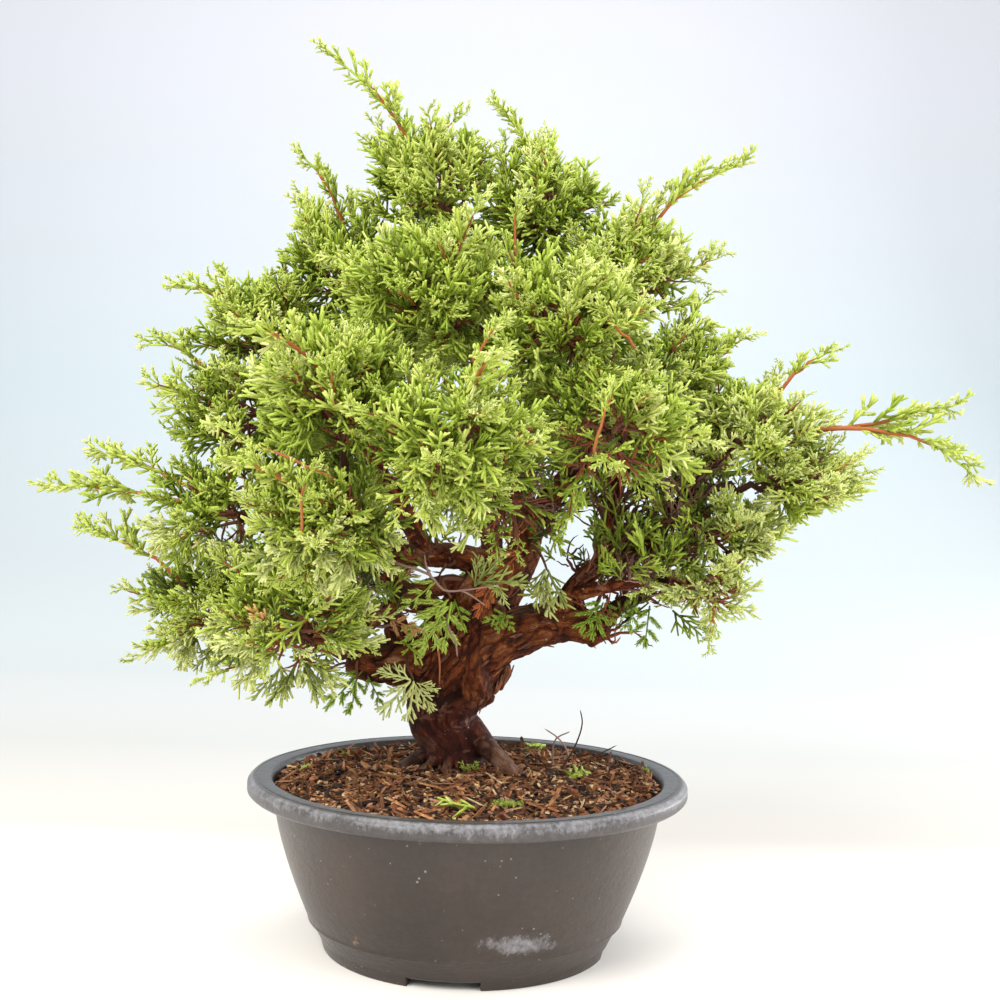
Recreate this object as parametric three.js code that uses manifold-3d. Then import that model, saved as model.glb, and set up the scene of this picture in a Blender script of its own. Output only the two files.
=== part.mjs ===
// An Itoigawa juniper grown as a bonsai in a round plastic pot. Millimetres, +Z up.
// The origin is the middle of the pot's underside, and the front of the tree faces -Y.
import * as THREE from "three";
import { mergeVertices } from "three/addons/utils/BufferGeometryUtils.js";
import Module from "manifold-3d";

const wasm = await Module();
wasm.setup();

// Driving dimensions of the pot
const RIM_RADIUS = 90;
const POT_HEIGHT = 69.5;
const RIM_DEPTH = 8.6;
const RIM_ROUND = 1.6;
const LIP_RADIUS = 79.5;
const WALL = 2.2;
const FOOT_RADIUS = 58.4;
const FOOT_WIDTH = 4;
const FOOT_RECESS = 4.4;
const FOOT_FLARE = 1.2;
const FLOOR_RADIUS = 59.4;
const FLOOR_ROUND = 0.6;
const BASE_RADIUS = 61.2;
const BASE_HEIGHT = 7.4;
const SHOULDER_RADIUS = 64.5;
const SHOULDER_HEIGHT = 12.4;
const NECK_RADIUS = 79.4;
const BELLY = 1.5;
const NOTCH_COUNT = 4;
const NOTCH_ANGLE = THREE.MathUtils.degToRad(28);
const NOTCH_HEIGHT = 3.2;
const NOTCH_TURN = THREE.MathUtils.degToRad(-6.7);
const AROUND = 36;

// Driving dimensions of the tree
const GAP = 0.35;
const GROUND = 71;
const MOUND_RADIUS = 46;
const SOIL_EDGE = 67.3;

// Rules of the foliage. Lengths are in millimetres, and shares run from a mass's middle at 0 to
// the edge of its space at 1.
const SEED = 20;
const SPRAYS = 11;
const STEM_RADIUS = 2.2;
const STEM_TAPER = 0.8;
const STEM_ARCH = 0.08;
const CORE_SHARE = 0.84;
const CORE_ROUGHNESS = 0.1;
const CORE_LEAST = 0.15;
const SPACE_REACH = 1.12;
const SPACE_MARGIN = 0.05;
const LIMB_CLEARANCE = 1.6;
const TWIG_EVERY = 3;
const TWIG_START = 0.5;
const TWIG_SHARE = 0.95;
const TWIG_RADIUS = 1.1;
const TWIG_TAPER = 0.55;
const LEAN = 0.7;
const BLADE_LENGTH = 17;
const BLADE_WIDTH = 22;
const BLADE_THICKNESS = 1.4;
const FINGER_END = 0.62;
const CROTCH = 0.55;
const CROTCH_WIDTH = 0.14;
const SUNK = 3;
const KITE_LENGTH = 17;
const KITE_WIDTH = 6;
const SHOOT_SPACING = 26;
const SHOOT_RADIUS = 1.6;
const SHOOT_STEPS = [0.06, 0.5, 0.75, 0.93];
const SHOOT_LEAFY_FROM = 0.5;
const SHOOT_LEAFY_TO = 0.85;
const SHOOT_TIP_FROM = 0.86;

const COLOURS = {
  pot: { color: 0x4c4a4b, roughness: 0.62 },
  soil: { color: 0x5c3d29, roughness: 0.95 },
  bark: { color: 0x6b3a26, roughness: 0.9 },
  foliage: { color: 0x6c9132, roughness: 0.7 },
};

// Trunk and boughs from base to tip, each place as x, y, z and radius. A bough starts inside
// the limb that it grows from.
const LIMBS = [
  {
    name: "trunk",
    sides: 10,
    steps: 24,
    lobes: 0.05,
    path: [
      [-4, 15, 64, 16], [-9, 14, 82, 14.6], [-12, 13, 90, 14.2], [-12, 12, 98, 17.4],
      [-9, 11, 108, 19.8], [-4, 10, 119, 20.6], [0, 11, 131, 18.8], [6, 13, 142, 14.6],
      [14, 16, 151, 10.4], [21, 18, 160, 6.8], [24, 18, 172, 5.4], [33, 14, 186, 4.9],
      [45, 6, 200, 4.3], [54, -1, 220, 3.6], [51, -2, 242, 3], [34, 4, 262, 2.4],
      [12, 8, 280, 1.8],
    ],
  },
  {
    name: "bough_right",
    from: "trunk",
    path: [
      [2, 10, 121, 12], [22, 2, 129, 9.8], [38, -5, 133, 8], [49, -8, 131, 6.8],
      [54, -9, 126, 5.4],
    ],
  },
  {
    name: "bough_right_main",
    from: "bough_right",
    path: [
      [37, -5, 134, 6.6], [42, -8, 148, 5.5], [53, -10, 158, 4.8], [67, -12, 164, 4.2],
      [80, -14, 168, 3.4],
    ],
  },
  {
    name: "bough_right_upright",
    from: "bough_right_main",
    path: [[52, -10, 157, 4], [55, -8, 172, 3.4], [59, -7, 190, 2.9], [66, -7, 210, 2.3]],
  },
  {
    name: "bough_right_rise",
    from: "bough_right_main",
    path: [[68, -12, 164, 3.2], [80, -16, 180, 2.7], [90, -16, 194, 2.1]],
  },
  {
    name: "bough_right_low",
    from: "bough_right_main",
    path: [[41, -8, 145, 3.6], [53, -18, 149, 3], [66, -26, 152, 2.5], [78, -32, 153, 2]],
  },
  {
    name: "bough_right_short",
    from: "bough_right",
    path: [[50, -8, 131, 4.8], [57, -6, 138, 3.8], [66, -3, 144, 2.9], [76, 1, 147, 2.1]],
  },
  {
    name: "bough_left_thick",
    from: "trunk",
    path: [[-10, 9, 111, 13], [-27, 4, 114, 10], [-41, 0, 114, 8.4], [-51, -3, 116, 6.2]],
  },
  {
    name: "stub_left",
    from: "bough_left_thick",
    path: [[-28, 4, 116, 6.6], [-31, 3, 126, 6], [-33, 3, 134, 4.8]],
  },
  {
    name: "bough_left_low",
    from: "trunk",
    path: [
      [-4, 8, 148, 4.6], [-22, -7, 145, 3.8], [-36, -13, 136, 3.4], [-48, -15, 128, 3],
      [-74, -10, 131, 2.4],
    ],
  },
  {
    name: "bough_left_arch",
    from: "trunk",
    path: [
      [12, 15, 152, 6.6], [-4, 11, 158, 5.6], [-22, 6, 159, 5], [-46, -2, 160, 4.2],
      [-68, -8, 166, 3],
    ],
  },
  {
    name: "bough_left_rise",
    from: "bough_left_arch",
    path: [[-20, 6, 161, 4.6], [-32, 14, 180, 4], [-48, 16, 204, 3.2], [-60, 14, 228, 2.4]],
  },
  {
    name: "bough_front_left",
    from: "bough_left_arch",
    path: [[-34, 2, 161, 4.2], [-40, -25, 164, 3.6], [-45, -50, 170, 2.8], [-46, -66, 180, 2.2]],
  },
  {
    name: "bough_front",
    from: "trunk",
    path: [[24, 17, 176, 4.6], [20, -12, 184, 3.8], [10, -42, 190, 3], [1, -76, 194, 2.3]],
  },
  {
    name: "bough_front_right",
    from: "trunk",
    path: [[53, 0, 216, 3.4], [51, -25, 216, 2.9], [49, -48, 213, 2.3]],
  },
  {
    name: "bough_front_upper",
    from: "trunk",
    path: [[53, -2, 230, 3], [38, -26, 242, 2.5], [14, -46, 250, 2]],
  },
  {
    name: "bough_back_left",
    from: "trunk",
    path: [[-4, 14, 126, 7.4], [-24, 38, 137, 5.4], [-40, 52, 145, 3.8]],
  },
  {
    name: "bough_back",
    from: "trunk",
    path: [[8, 16, 146, 6.4], [6, 46, 168, 4.8], [-4, 74, 184, 3.2]],
  },
  {
    name: "bough_back_right",
    from: "trunk",
    path: [[34, 13, 187, 4.2], [45, 36, 198, 3.4], [54, 50, 206, 2.6]],
  },
  {
    name: "bough_back_upper",
    from: "trunk",
    path: [[52, -2, 236, 2.8], [36, 24, 248, 2.4], [12, 40, 256, 2]],
  },
];

// Surface roots that flare out of the trunk into the mound: direction from the trunk's foot in
// degrees from +X, reach across the mound, radius at the trunk and height where it leaves it.
const ROOTS = [
  { turn: -42, reach: 36, radius: 6.4, rise: 17 },
  { turn: -115, reach: 21, radius: 5, rise: 8 },
  { turn: 196, reach: 27, radius: 5.2, rise: 9 },
  { turn: 120, reach: 25, radius: 5.6, rise: 11 },
  { turn: 35, reach: 27, radius: 6, rise: 12 },
];

// Masses of foliage: the limb each stem leaves and how far along, its middle and half-sizes.
const MASSES = Object.entries({
  low_left: { limb: "bough_left_low", at: 1, centre: [-108, 8, 134], reach: [30, 30, 23] },
  low_left_front: { limb: "bough_left_thick", at: 1, centre: [-68, -46, 132], reach: [29, 27, 24] },
  left: { limb: "bough_left_arch", at: 1, centre: [-100, -8, 175], reach: [31, 32, 24] },
  left_mid: { limb: "bough_left_rise", at: 0.6, centre: [-97, 2, 217], reach: [30, 30, 25] },
  left_upper: { limb: "bough_left_rise", at: 1, centre: [-88, 14, 253], reach: [28, 28, 22] },
  upper_left: { limb: "bough_left_rise", at: 0.84, centre: [-57, 18, 282], reach: [27, 28, 24] },
  top: { limb: "trunk", at: 1, centre: [-22, 6, 310], reach: [27, 27, 27] },
  top_right: { limb: "trunk", at: 0.96, centre: [22, 10, 304], reach: [27, 28, 26] },
  upper_right: { limb: "trunk", at: 0.88, centre: [60, 0, 276], reach: [27, 28, 25] },
  right_mid: { limb: "bough_right_upright", at: 1, centre: [74, -8, 236], reach: [28, 28, 24] },
  right: { limb: "bough_right_rise", at: 1, centre: [112, -15, 211], reach: [29, 28, 20] },
  right_far: { limb: "bough_right_rise", at: 0.75, centre: [132, -20, 191], reach: [20, 22, 15] },
  right_low: { limb: "bough_right_main", at: 1, centre: [101, -18, 172], reach: [22, 24, 16] },
  right_lowest: { limb: "bough_right_low", at: 1, centre: [94, -30, 150], reach: [21, 26, 13] },
  front_upper: { limb: "bough_front_upper", at: 1, centre: [-14, -66, 257], reach: [29, 28, 24] },
  front_right_upper: { limb: "bough_front_upper", at: 0.75, centre: [31, -76, 246], reach: [27, 27, 24] },
  front_left: { limb: "bough_front_left", at: 1, centre: [-46, -90, 218], reach: [29, 27, 25] },
  front_centre: { limb: "bough_front", at: 1, centre: [-4, -112, 200], reach: [28, 28, 24] },
  front_right: { limb: "bough_front_right", at: 1, centre: [49, -84, 206], reach: [27, 27, 25] },
  front_low_left: { limb: "bough_front_left", at: 0.8, centre: [-47, -92, 173], reach: [28, 26, 21] },
  front_low: { limb: "bough_front", at: 0.75, centre: [13, -66, 179], reach: [23, 23, 17] },
  back_left: { limb: "bough_back_left", at: 1, centre: [-63, 72, 152], reach: [33, 32, 25] },
  back_low: { limb: "bough_back", at: 1, centre: [-6, 106, 195], reach: [33, 32, 24] },
  back_mid_left: { limb: "bough_back", at: 0.75, centre: [-58, 76, 208], reach: [33, 32, 27] },
  back_mid_right: { limb: "bough_back_right", at: 1, centre: [44, 92, 222], reach: [33, 32, 25] },
  back_right: { limb: "bough_back_right", at: 0.85, centre: [84, 46, 210], reach: [31, 30, 24] },
  back_upper: { limb: "bough_back_upper", at: 1, centre: [-20, 58, 261], reach: [32, 30, 25] },
  back_upper_right: { limb: "bough_back_upper", at: 0.7, centre: [35, 52, 268], reach: [30, 30, 25] },
  inner_top: { limb: "trunk", at: 0.92, centre: [-30, -14, 262], reach: [28, 28, 25] },
  tuft_left: { limb: "trunk", at: 0.36, centre: [-22, -21, 118], reach: [17, 10, 25] },
}).map(([name, mass]) => ({ name, ...mass }));

// Long new shoots that stand out of a mass: its name, the bend and the tip.
const SHOOTS = [
  { mass: "top", bend: [-34, 3, 346], tip: [-70, 0, 370] },
  { mass: "top_right", bend: [26, 15, 334], tip: [1, 10, 352] },
  { mass: "upper_left", bend: [-60, 12, 316], tip: [-80, 5, 327] },
  { mass: "upper_right", bend: [76, -2, 316], tip: [111, -10, 323] },
  { mass: "right", bend: [128, -15, 244], tip: [148, -15, 247] },
  { mass: "right", bend: [160, -22, 215], tip: [194, -25, 226] },
  { mass: "right", bend: [178, -28, 222], tip: [199, -30, 193] },
  { mass: "left_upper", bend: [-112, 10, 271], tip: [-133, 10, 269] },
  { mass: "left_mid", bend: [-124, 8, 250], tip: [-143, 10, 244] },
  { mass: "left", bend: [-146, 18, 200], tip: [-172, 35, 198] },
  { mass: "left", bend: [-158, 26, 186], tip: [-199, 50, 184] },
  { mass: "low_left", bend: [-146, 12, 166], tip: [-173, 20, 166] },
  { mass: "front_left", bend: [-58, -116, 238], tip: [-78, -130, 239] },
  { mass: "front_centre", bend: [2, -142, 228], tip: [10, -158, 229] },
  { mass: "front_low_left", bend: [-64, -114, 194], tip: [-80, -128, 196] },
  { mass: "back_low", bend: [-4, 142, 216], tip: [-2, 158, 218] },
  { mass: "back_right", bend: [112, 66, 232], tip: [128, 78, 231] },
  { mass: "back_mid_left", bend: [-84, 104, 232], tip: [-100, 118, 228] },
  { mass: "back_mid_right", bend: [66, 122, 240], tip: [78, 134, 238] },
];

const vector = (values) => new THREE.Vector3(values[0], values[1], values[2]);
const UP = new THREE.Vector3(0, 0, 1);

// Random numbers from 0 to 1 that are the same on every run.
function seeded(seed) {
  let state = seed >>> 0;
  return () => {
    state = (state + 0x6d2b79f5) >>> 0;
    let mixed = Math.imul(state ^ (state >>> 15), state | 1);
    mixed ^= mixed + Math.imul(mixed ^ (mixed >>> 7), mixed | 61);
    return ((mixed ^ (mixed >>> 14)) >>> 0) / 4294967296;
  };
}

// A geometry of places alone, in which the faces share their corners.
function mergedOf(geometry) {
  const bare = geometry.clone();
  bare.deleteAttribute("normal");
  bare.deleteAttribute("uv");
  bare.clearGroups();
  return mergeVertices(bare, 1e-4);
}

// A closed geometry as a solid that can be joined and cut.
function solidOf(geometry) {
  const merged = mergedOf(geometry);
  const corners = merged.index.array;
  const kept = [];
  for (let i = 0; i < corners.length; i += 3) {
    const [a, b, c] = [corners[i], corners[i + 1], corners[i + 2]];
    if (a !== b && b !== c && c !== a) {
      kept.push(a, b, c);
    }
  }
  const mesh = new wasm.Mesh({
    numProp: 3,
    vertProperties: new Float32Array(merged.attributes.position.array),
    triVerts: new Uint32Array(kept),
  });
  return new wasm.Manifold(mesh);
}

// A solid's faces as a geometry with flat shading.
function geometryOf(solid) {
  const mesh = solid.getMesh();
  const places = new Float32Array(mesh.numVert * 3);
  for (let i = 0; i < mesh.numVert; i++) {
    places.set(mesh.vertProperties.subarray(i * mesh.numProp, i * mesh.numProp + 3), i * 3);
  }
  const geometry = new THREE.BufferGeometry();
  geometry.setAttribute("position", new THREE.BufferAttribute(places, 3));
  geometry.setIndex(new THREE.BufferAttribute(new Uint32Array(mesh.triVerts), 1));
  const flat = geometry.toNonIndexed();
  flat.computeVertexNormals();
  return flat;
}

const joined = (solids) => solids.reduce((whole, piece) => whole.add(piece));

// The largest of a solid's separate bodies.
function largest(solid) {
  return solid.decompose().reduce((best, body) => (body.volume() > best.volume() ? body : best));
}

// Radius of the pot's outer wall at a height above its shoulder.
function wallRadius(z) {
  const share = (z - SHOULDER_HEIGHT) / (POT_HEIGHT - RIM_DEPTH - SHOULDER_HEIGHT);
  return SHOULDER_RADIUS + (NECK_RADIUS - SHOULDER_RADIUS) * (1 - (1 - share) ** BELLY);
}

// Heights spaced evenly from one to another, both ends included.
function heights(from, to, count) {
  return Array.from({ length: count }, (_, i) => from + ((to - from) * i) / (count - 1));
}

// A profile of radius and height turned about the pot's axis.
function turned(profile) {
  const points = profile.map(([radius, z]) => new THREE.Vector2(radius, z));
  return solidOf(new THREE.LatheGeometry(points, AROUND).rotateX(Math.PI / 2));
}

// The pot: a foot ring with drain notches, a bellied wall and a broad flat rim.
function potSolid() {
  const neck = POT_HEIGHT - RIM_DEPTH;
  const floor = FOOT_RECESS + WALL;
  const outer = heights(SHOULDER_HEIGHT, neck, 5).map((z) => [wallRadius(z), z]);
  const inner = heights(neck, SHOULDER_HEIGHT, 3).map((z) => [wallRadius(z) - WALL, z]);
  const profile = [
    [0, FOOT_RECESS],
    [FOOT_RADIUS - FOOT_WIDTH, FOOT_RECESS],
    [FOOT_RADIUS - FOOT_WIDTH, 0],
    [FOOT_RADIUS, 0],
    [FOOT_RADIUS + FOOT_FLARE, FOOT_RECESS],
    [BASE_RADIUS, BASE_HEIGHT],
    ...outer,
    [RIM_RADIUS - RIM_ROUND, neck],
    [RIM_RADIUS, neck + RIM_ROUND],
    [RIM_RADIUS, POT_HEIGHT - RIM_ROUND],
    [RIM_RADIUS - RIM_ROUND, POT_HEIGHT],
    [LIP_RADIUS + RIM_ROUND, POT_HEIGHT],
    [LIP_RADIUS, POT_HEIGHT - RIM_ROUND],
    ...inner,
    [FLOOR_RADIUS, floor],
    [0, floor],
  ];
  let pot = turned(profile);
  const width = 2 * FOOT_RADIUS * Math.sin(NOTCH_ANGLE / 2);
  for (let i = 0; i < NOTCH_COUNT; i++) {
    const notch = new THREE.BoxGeometry(width, 4 * FOOT_WIDTH, 2 * NOTCH_HEIGHT);
    notch.translate(0, -FOOT_RADIUS, 0);
    notch.rotateZ(NOTCH_TURN + (i * 2 * Math.PI) / NOTCH_COUNT);
    pot = pot.subtract(solidOf(notch));
  }
  return pot;
}

// The soil: it fills the pot a gap inside its walls and rises to a mound under the trunk.
function soilSolid() {
  const floor = FOOT_RECESS + WALL + GAP;
  const inside = WALL + GAP;
  const levels = heights(SHOULDER_HEIGHT, POT_HEIGHT - RIM_DEPTH, 3);
  const wall = levels.map((z) => [wallRadius(z) - inside, z]);
  return turned([
    [0, floor],
    [FLOOR_RADIUS - FLOOR_ROUND, floor],
    ...wall,
    [LIP_RADIUS - inside / 2, SOIL_EDGE],
    [MOUND_RADIUS, GROUND - GAP],
    [0, GROUND - GAP],
  ]);
}

// Places and radii at even steps along a limb's path.
function along(path, steps) {
  const curve = new THREE.CatmullRomCurve3(path.map(vector), false, "centripetal");
  return Array.from({ length: steps + 1 }, (_, i) => {
    const t = i / steps;
    const place = Math.min(t * (path.length - 1), path.length - 1.000001);
    const before = Math.floor(place);
    const share = place - before;
    const radius = path[before][3] * (1 - share) + path[before + 1][3] * share;
    return { point: curve.getPoint(t), tangent: curve.getTangent(t), radius };
  });
}

// A closed cylinder bent along a row of places, with a lobed section where lobes is not 0.
function sweep(places, sides, lobes = 0, extra = 0) {
  const steps = places.length - 1;
  const geometry = new THREE.CylinderGeometry(1, 1, 1, sides, steps);
  const across = [];
  let side = new THREE.Vector3(1, 0, 0);
  for (const { tangent } of places) {
    side = side.clone().addScaledVector(tangent, -side.dot(tangent)).normalize();
    across.push({ side, other: new THREE.Vector3().crossVectors(side, tangent) });
  }
  const position = geometry.attributes.position;
  const vertex = new THREE.Vector3();
  for (let i = 0; i < position.count; i++) {
    vertex.fromBufferAttribute(position, i);
    const step = Math.round((vertex.y + 0.5) * steps);
    const angle = Math.atan2(vertex.z, vertex.x);
    const { point, radius } = places[step];
    const twist = (4 * step) / steps;
    const swell = 1 + lobes * (Math.cos(3 * angle + twist) + 0.6 * Math.cos(5 * angle - twist));
    const distance = Math.hypot(vertex.x, vertex.z) * (radius * swell + extra);
    const { side: x, other: z } = across[step];
    vertex.copy(point);
    vertex.addScaledVector(x, distance * Math.cos(angle));
    vertex.addScaledVector(z, distance * Math.sin(angle));
    position.setXYZ(i, vertex.x, vertex.y, vertex.z);
  }
  return solidOf(geometry);
}

// A root: it leaves the trunk above the mound, and arches out and down into it.
function rootPlaces({ turn, reach, radius, rise }) {
  const [x, y] = LIMBS[0].path[0];
  const angle = THREE.MathUtils.degToRad(turn);
  const out = (distance, z, r) => [x + distance * Math.cos(angle), y + distance * Math.sin(angle), z, r];
  return along(
    [
      out(4, GROUND + rise, radius),
      out(reach * 0.55, GROUND + rise * 0.4, radius * 0.85),
      out(reach, GROUND - 2, radius * 0.45),
    ],
    4,
  );
}

const stepsOf = ({ path, steps }) => steps ?? 2 * (path.length - 1);
const limbPlaces = new Map(LIMBS.map((limb) => [limb.name, along(limb.path, stepsOf(limb))]));

// The trunk with its roots, made wider all over by extra for the pieces that keep clear of it.
function trunkSolid(extra = 0) {
  const { name, sides, lobes } = LIMBS[0];
  const roots = ROOTS.map((root) => sweep(rootPlaces(root), 5, 0, extra));
  const below = new THREE.BoxGeometry(200, 200, 40).translate(0, 0, GROUND - 20);
  return joined([sweep(limbPlaces.get(name), sides, lobes, extra), ...roots]).subtract(solidOf(below));
}

// How many sides a bough has: fewer on a thin one.
function sidesOf(radius) {
  if (radius > 7) return 8;
  return radius > 4 ? 6 : 5;
}

// Each limb, cut clear of the one that it grows from, and the space that others keep clear of.
const limbSolids = new Map([["trunk", trunkSolid()]]);
const wideSolids = new Map([["trunk", trunkSolid(GAP)]]);
for (const { name, from } of LIMBS.slice(1)) {
  const places = limbPlaces.get(name);
  const sides = sidesOf(places[0].radius);
  limbSolids.set(name, largest(sweep(places, sides).subtract(wideSolids.get(from))));
  wideSolids.set(name, sweep(places, sides, 0, GAP));
}

// The stem of a mass: from the limb it grows on to the middle of the mass, arched upwards.
function stemPlaces({ limb, at, centre }) {
  const places = limbPlaces.get(limb);
  const start = places[Math.round(at * (places.length - 1))];
  const middle = vector(centre);
  const bend = start.point.clone().lerp(middle, 0.5);
  bend.addScaledVector(UP, STEM_ARCH * start.point.distanceTo(middle));
  const curve = new THREE.QuadraticBezierCurve3(start.point, bend, middle);
  return [0, 0.5, 1].map((t) => ({
    point: curve.getPoint(t),
    tangent: curve.getTangent(t),
    radius: Math.min(start.radius * STEM_TAPER, STEM_RADIUS) - STEM_TAPER * t,
  }));
}

// How far out a point is in a mass: 0 at its middle and 1 at the edge of its space.
function outness(point, mass) {
  const [x, y, z] = point.toArray().map((value, axis) => (value - mass.centre[axis]) / mass.reach[axis]);
  return Math.hypot(x, y, z);
}

// Whether a point belongs to a mass: it is further in there than in any other mass near it.
function inSpace(point, mass) {
  const own = outness(point, mass);
  return MASSES.every((other) => {
    if (other === mass) return true;
    const theirs = outness(point, other);
    return theirs > SPACE_REACH || own + SPACE_MARGIN < theirs;
  });
}

const stems = new Map(MASSES.map((mass) => [mass, stemPlaces(mass)]));

// Whether a point keeps clear of every limb and of the stems of the other masses.
function clearOfLimbs(point, mass) {
  const free = ({ point: place, radius }) => point.distanceTo(place) > radius + LIMB_CLEARANCE;
  for (const places of limbPlaces.values()) {
    if (!between(places).every(free)) return false;
  }
  for (const [other, places] of stems) {
    if (other !== mass && !between(places).every(free)) return false;
  }
  return true;
}

// Places along a limb with more of them put in between, so that none lie far apart.
const filled = new Map();
function between(places) {
  if (filled.has(places)) return filled.get(places);
  const all = [];
  for (let i = 1; i < places.length; i++) {
    const [a, b] = [places[i - 1], places[i]];
    const count = Math.ceil(a.point.distanceTo(b.point) / 2);
    for (let k = 0; k < count; k++) {
      const share = k / count;
      const radius = a.radius * (1 - share) + b.radius * share;
      all.push({ point: a.point.clone().lerp(b.point, share), radius });
    }
  }
  all.push(places.at(-1));
  filled.set(places, all);
  return all;
}

// A direction on a sphere: the k-th of a spiral that covers it evenly, turned a little at random.
function spreadDirection(k, count, random) {
  const height = 1 - (2 * (k + 0.5)) / count;
  const angle = k * Math.PI * (3 - Math.sqrt(5)) + random() * LEAN;
  const across = Math.sqrt(1 - height * height);
  return new THREE.Vector3(across * Math.cos(angle), across * Math.sin(angle), height);
}

// The outline of a spray: a blade with three fingers, its root at 0, 0 and its tip along +X.
function sprayShape(length, width) {
  const side = [[FINGER_END, 0.5], [CROTCH, CROTCH_WIDTH]];
  const other = side.map(([x, y]) => [x, -y]);
  const outline = [[0, 0], ...other, [1, 0], ...side.reverse()];
  return new THREE.Shape(outline.map(([x, y]) => new THREE.Vector2(x * length, y * width)));
}

// A spray set with its root at a place, pointing in a direction and lying across a side.
function spray(place, direction, side, length, width) {
  const geometry = new THREE.ExtrudeGeometry(sprayShape(length, width), {
    depth: BLADE_THICKNESS,
    bevelEnabled: false,
  });
  geometry.translate(0, 0, -BLADE_THICKNESS / 2);
  const x = direction.clone().normalize();
  const y = side.clone().addScaledVector(x, -side.dot(x)).normalize();
  const z = new THREE.Vector3().crossVectors(x, y);
  const turn = new THREE.Matrix4().makeBasis(x, y, z).setPosition(place);
  const fingers = [[1, 0], [FINGER_END, 0.5], [FINGER_END, -0.5], [CROTCH, 0]].map(([u, v]) =>
    new THREE.Vector3(u * length, v * width, 0).applyMatrix4(turn),
  );
  return { geometry: geometry.applyMatrix4(turn), fingers };
}

// A small spray as a kite of eight faces, its root at a place and its tip at the end of reach.
function kite(place, reach, side, width) {
  const length = reach.length();
  const geometry = new THREE.OctahedronGeometry(0.5).scale(length, width, BLADE_THICKNESS);
  const x = reach.clone().normalize();
  const y = side.clone().addScaledVector(x, -side.dot(x)).normalize();
  const z = new THREE.Vector3().crossVectors(x, y);
  const middle = place.clone().addScaledVector(reach, 0.5);
  return geometry.applyMatrix4(new THREE.Matrix4().makeBasis(x, y, z).setPosition(middle));
}

// A three-sided twig between two places, tapering to its end.
function twig(from, to, radius) {
  const tangent = to.clone().sub(from).normalize();
  return sweep(
    [
      { point: from, tangent, radius },
      { point: to, tangent, radius: radius * TWIG_TAPER },
    ],
    3,
  );
}

// The core of a mass: a rounded body, drawn in wherever it would leave its space.
function coreSolid(mass, random) {
  const geometry = mergedOf(new THREE.OctahedronGeometry(1, 1));
  const position = geometry.attributes.position;
  const centre = vector(mass.centre);
  const reach = vector(mass.reach);
  for (let i = 0; i < position.count; i++) {
    const out = new THREE.Vector3().fromBufferAttribute(position, i).multiply(reach);
    const inside = (share) => inSpace(centre.clone().addScaledVector(out, share * 1.08), mass);
    let share = CORE_SHARE * (1 + CORE_ROUGHNESS * (2 * random() - 1));
    while (share > CORE_LEAST && !inside(share)) {
      share -= SPACE_MARGIN;
    }
    const vertex = centre.clone().addScaledVector(out, share);
    position.setXYZ(i, vertex.x, vertex.y, vertex.z);
  }
  return solidOf(geometry);
}

// Twigs that stand out of the core on all sides, each with a spray at its end.
function crownPieces(mass, random) {
  const centre = vector(mass.centre);
  const reach = vector(mass.reach);
  const size = Math.cbrt(mass.reach[0] * mass.reach[1] * mass.reach[2]);
  const pieces = [];
  for (let k = 0; k < SPRAYS; k++) {
    const outward = spreadDirection(k, SPRAYS, random).multiply(reach);
    const onTwig = k % TWIG_EVERY === 0;
    const start = centre.clone().addScaledVector(outward, TWIG_START);
    const end = centre.clone().addScaledVector(outward, onTwig ? TWIG_SHARE : CORE_SHARE);
    const turn = new THREE.Vector3(random() - 0.5, random() - 0.5, random() - 0.5);
    const side = new THREE.Vector3().crossVectors(outward, turn);
    const lean = new THREE.Vector3().crossVectors(side, outward).setLength(LEAN);
    const direction = outward.clone().normalize().add(lean).normalize();
    const length = BLADE_LENGTH * Math.min(1, size / 25);
    const root = end.clone().addScaledVector(direction, -SUNK);
    const width = (BLADE_WIDTH * length) / BLADE_LENGTH;
    const { geometry, fingers } = spray(root, direction, side, length, width);
    if ([end, ...fingers].every((point) => inSpace(point, mass) && clearOfLimbs(point, mass))) {
      if (onTwig) pieces.push(twig(start, end, TWIG_RADIUS));
      pieces.push(solidOf(geometry));
    }
  }
  return pieces;
}

// Long shoots out of a mass, each a bent three-sided twig with small sprays left and right.
function shootPieces(mass, random) {
  const pieces = [];
  for (const { bend, tip } of SHOOTS.filter((shoot) => shoot.mass === mass.name)) {
    const curve = new THREE.QuadraticBezierCurve3(vector(mass.centre), vector(bend), vector(tip));
    const places = SHOOT_STEPS.map((t) => ({
      point: curve.getPoint(t),
      tangent: curve.getTangent(t),
      radius: SHOOT_RADIUS - t,
    }));
    pieces.push(sweep(places, 3));
    const root = curve.getPoint(SHOOT_TIP_FROM);
    pieces.push(solidOf(kite(root, vector(tip).sub(root), UP, KITE_WIDTH)));
    const count = Math.round(curve.getLength() / SHOOT_SPACING);
    for (let k = 0; k < count; k++) {
      const t = SHOOT_LEAFY_FROM + ((SHOOT_LEAFY_TO - SHOOT_LEAFY_FROM) * k) / count;
      const tangent = curve.getTangent(t);
      const swing = new THREE.Vector3().crossVectors(tangent, UP).normalize();
      swing.applyAxisAngle(tangent, (k % 2 ? Math.PI : 0) + random());
      const reach = tangent.clone().multiplyScalar(0.8).add(swing).setLength(KITE_LENGTH * (1.4 - t));
      const place = curve.getPoint(t).addScaledVector(reach, -0.06);
      if (clearOfLimbs(place.clone().add(reach), mass)) {
        pieces.push(solidOf(kite(place, reach, UP, KITE_WIDTH)));
      }
    }
  }
  return pieces;
}

// One mass of foliage: its stem, core, twigs, sprays and long shoots in one piece.
function massSolid(mass, index) {
  const random = seeded(SEED + index);
  const whole = joined([
    coreSolid(mass, random),
    sweep(stems.get(mass), 4),
    ...crownPieces(mass, random),
    ...shootPieces(mass, random),
  ]);
  const cut = [...wideSolids.values()].reduce((rest, limb) => rest.subtract(limb), whole);
  return largest(cut);
}

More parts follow.
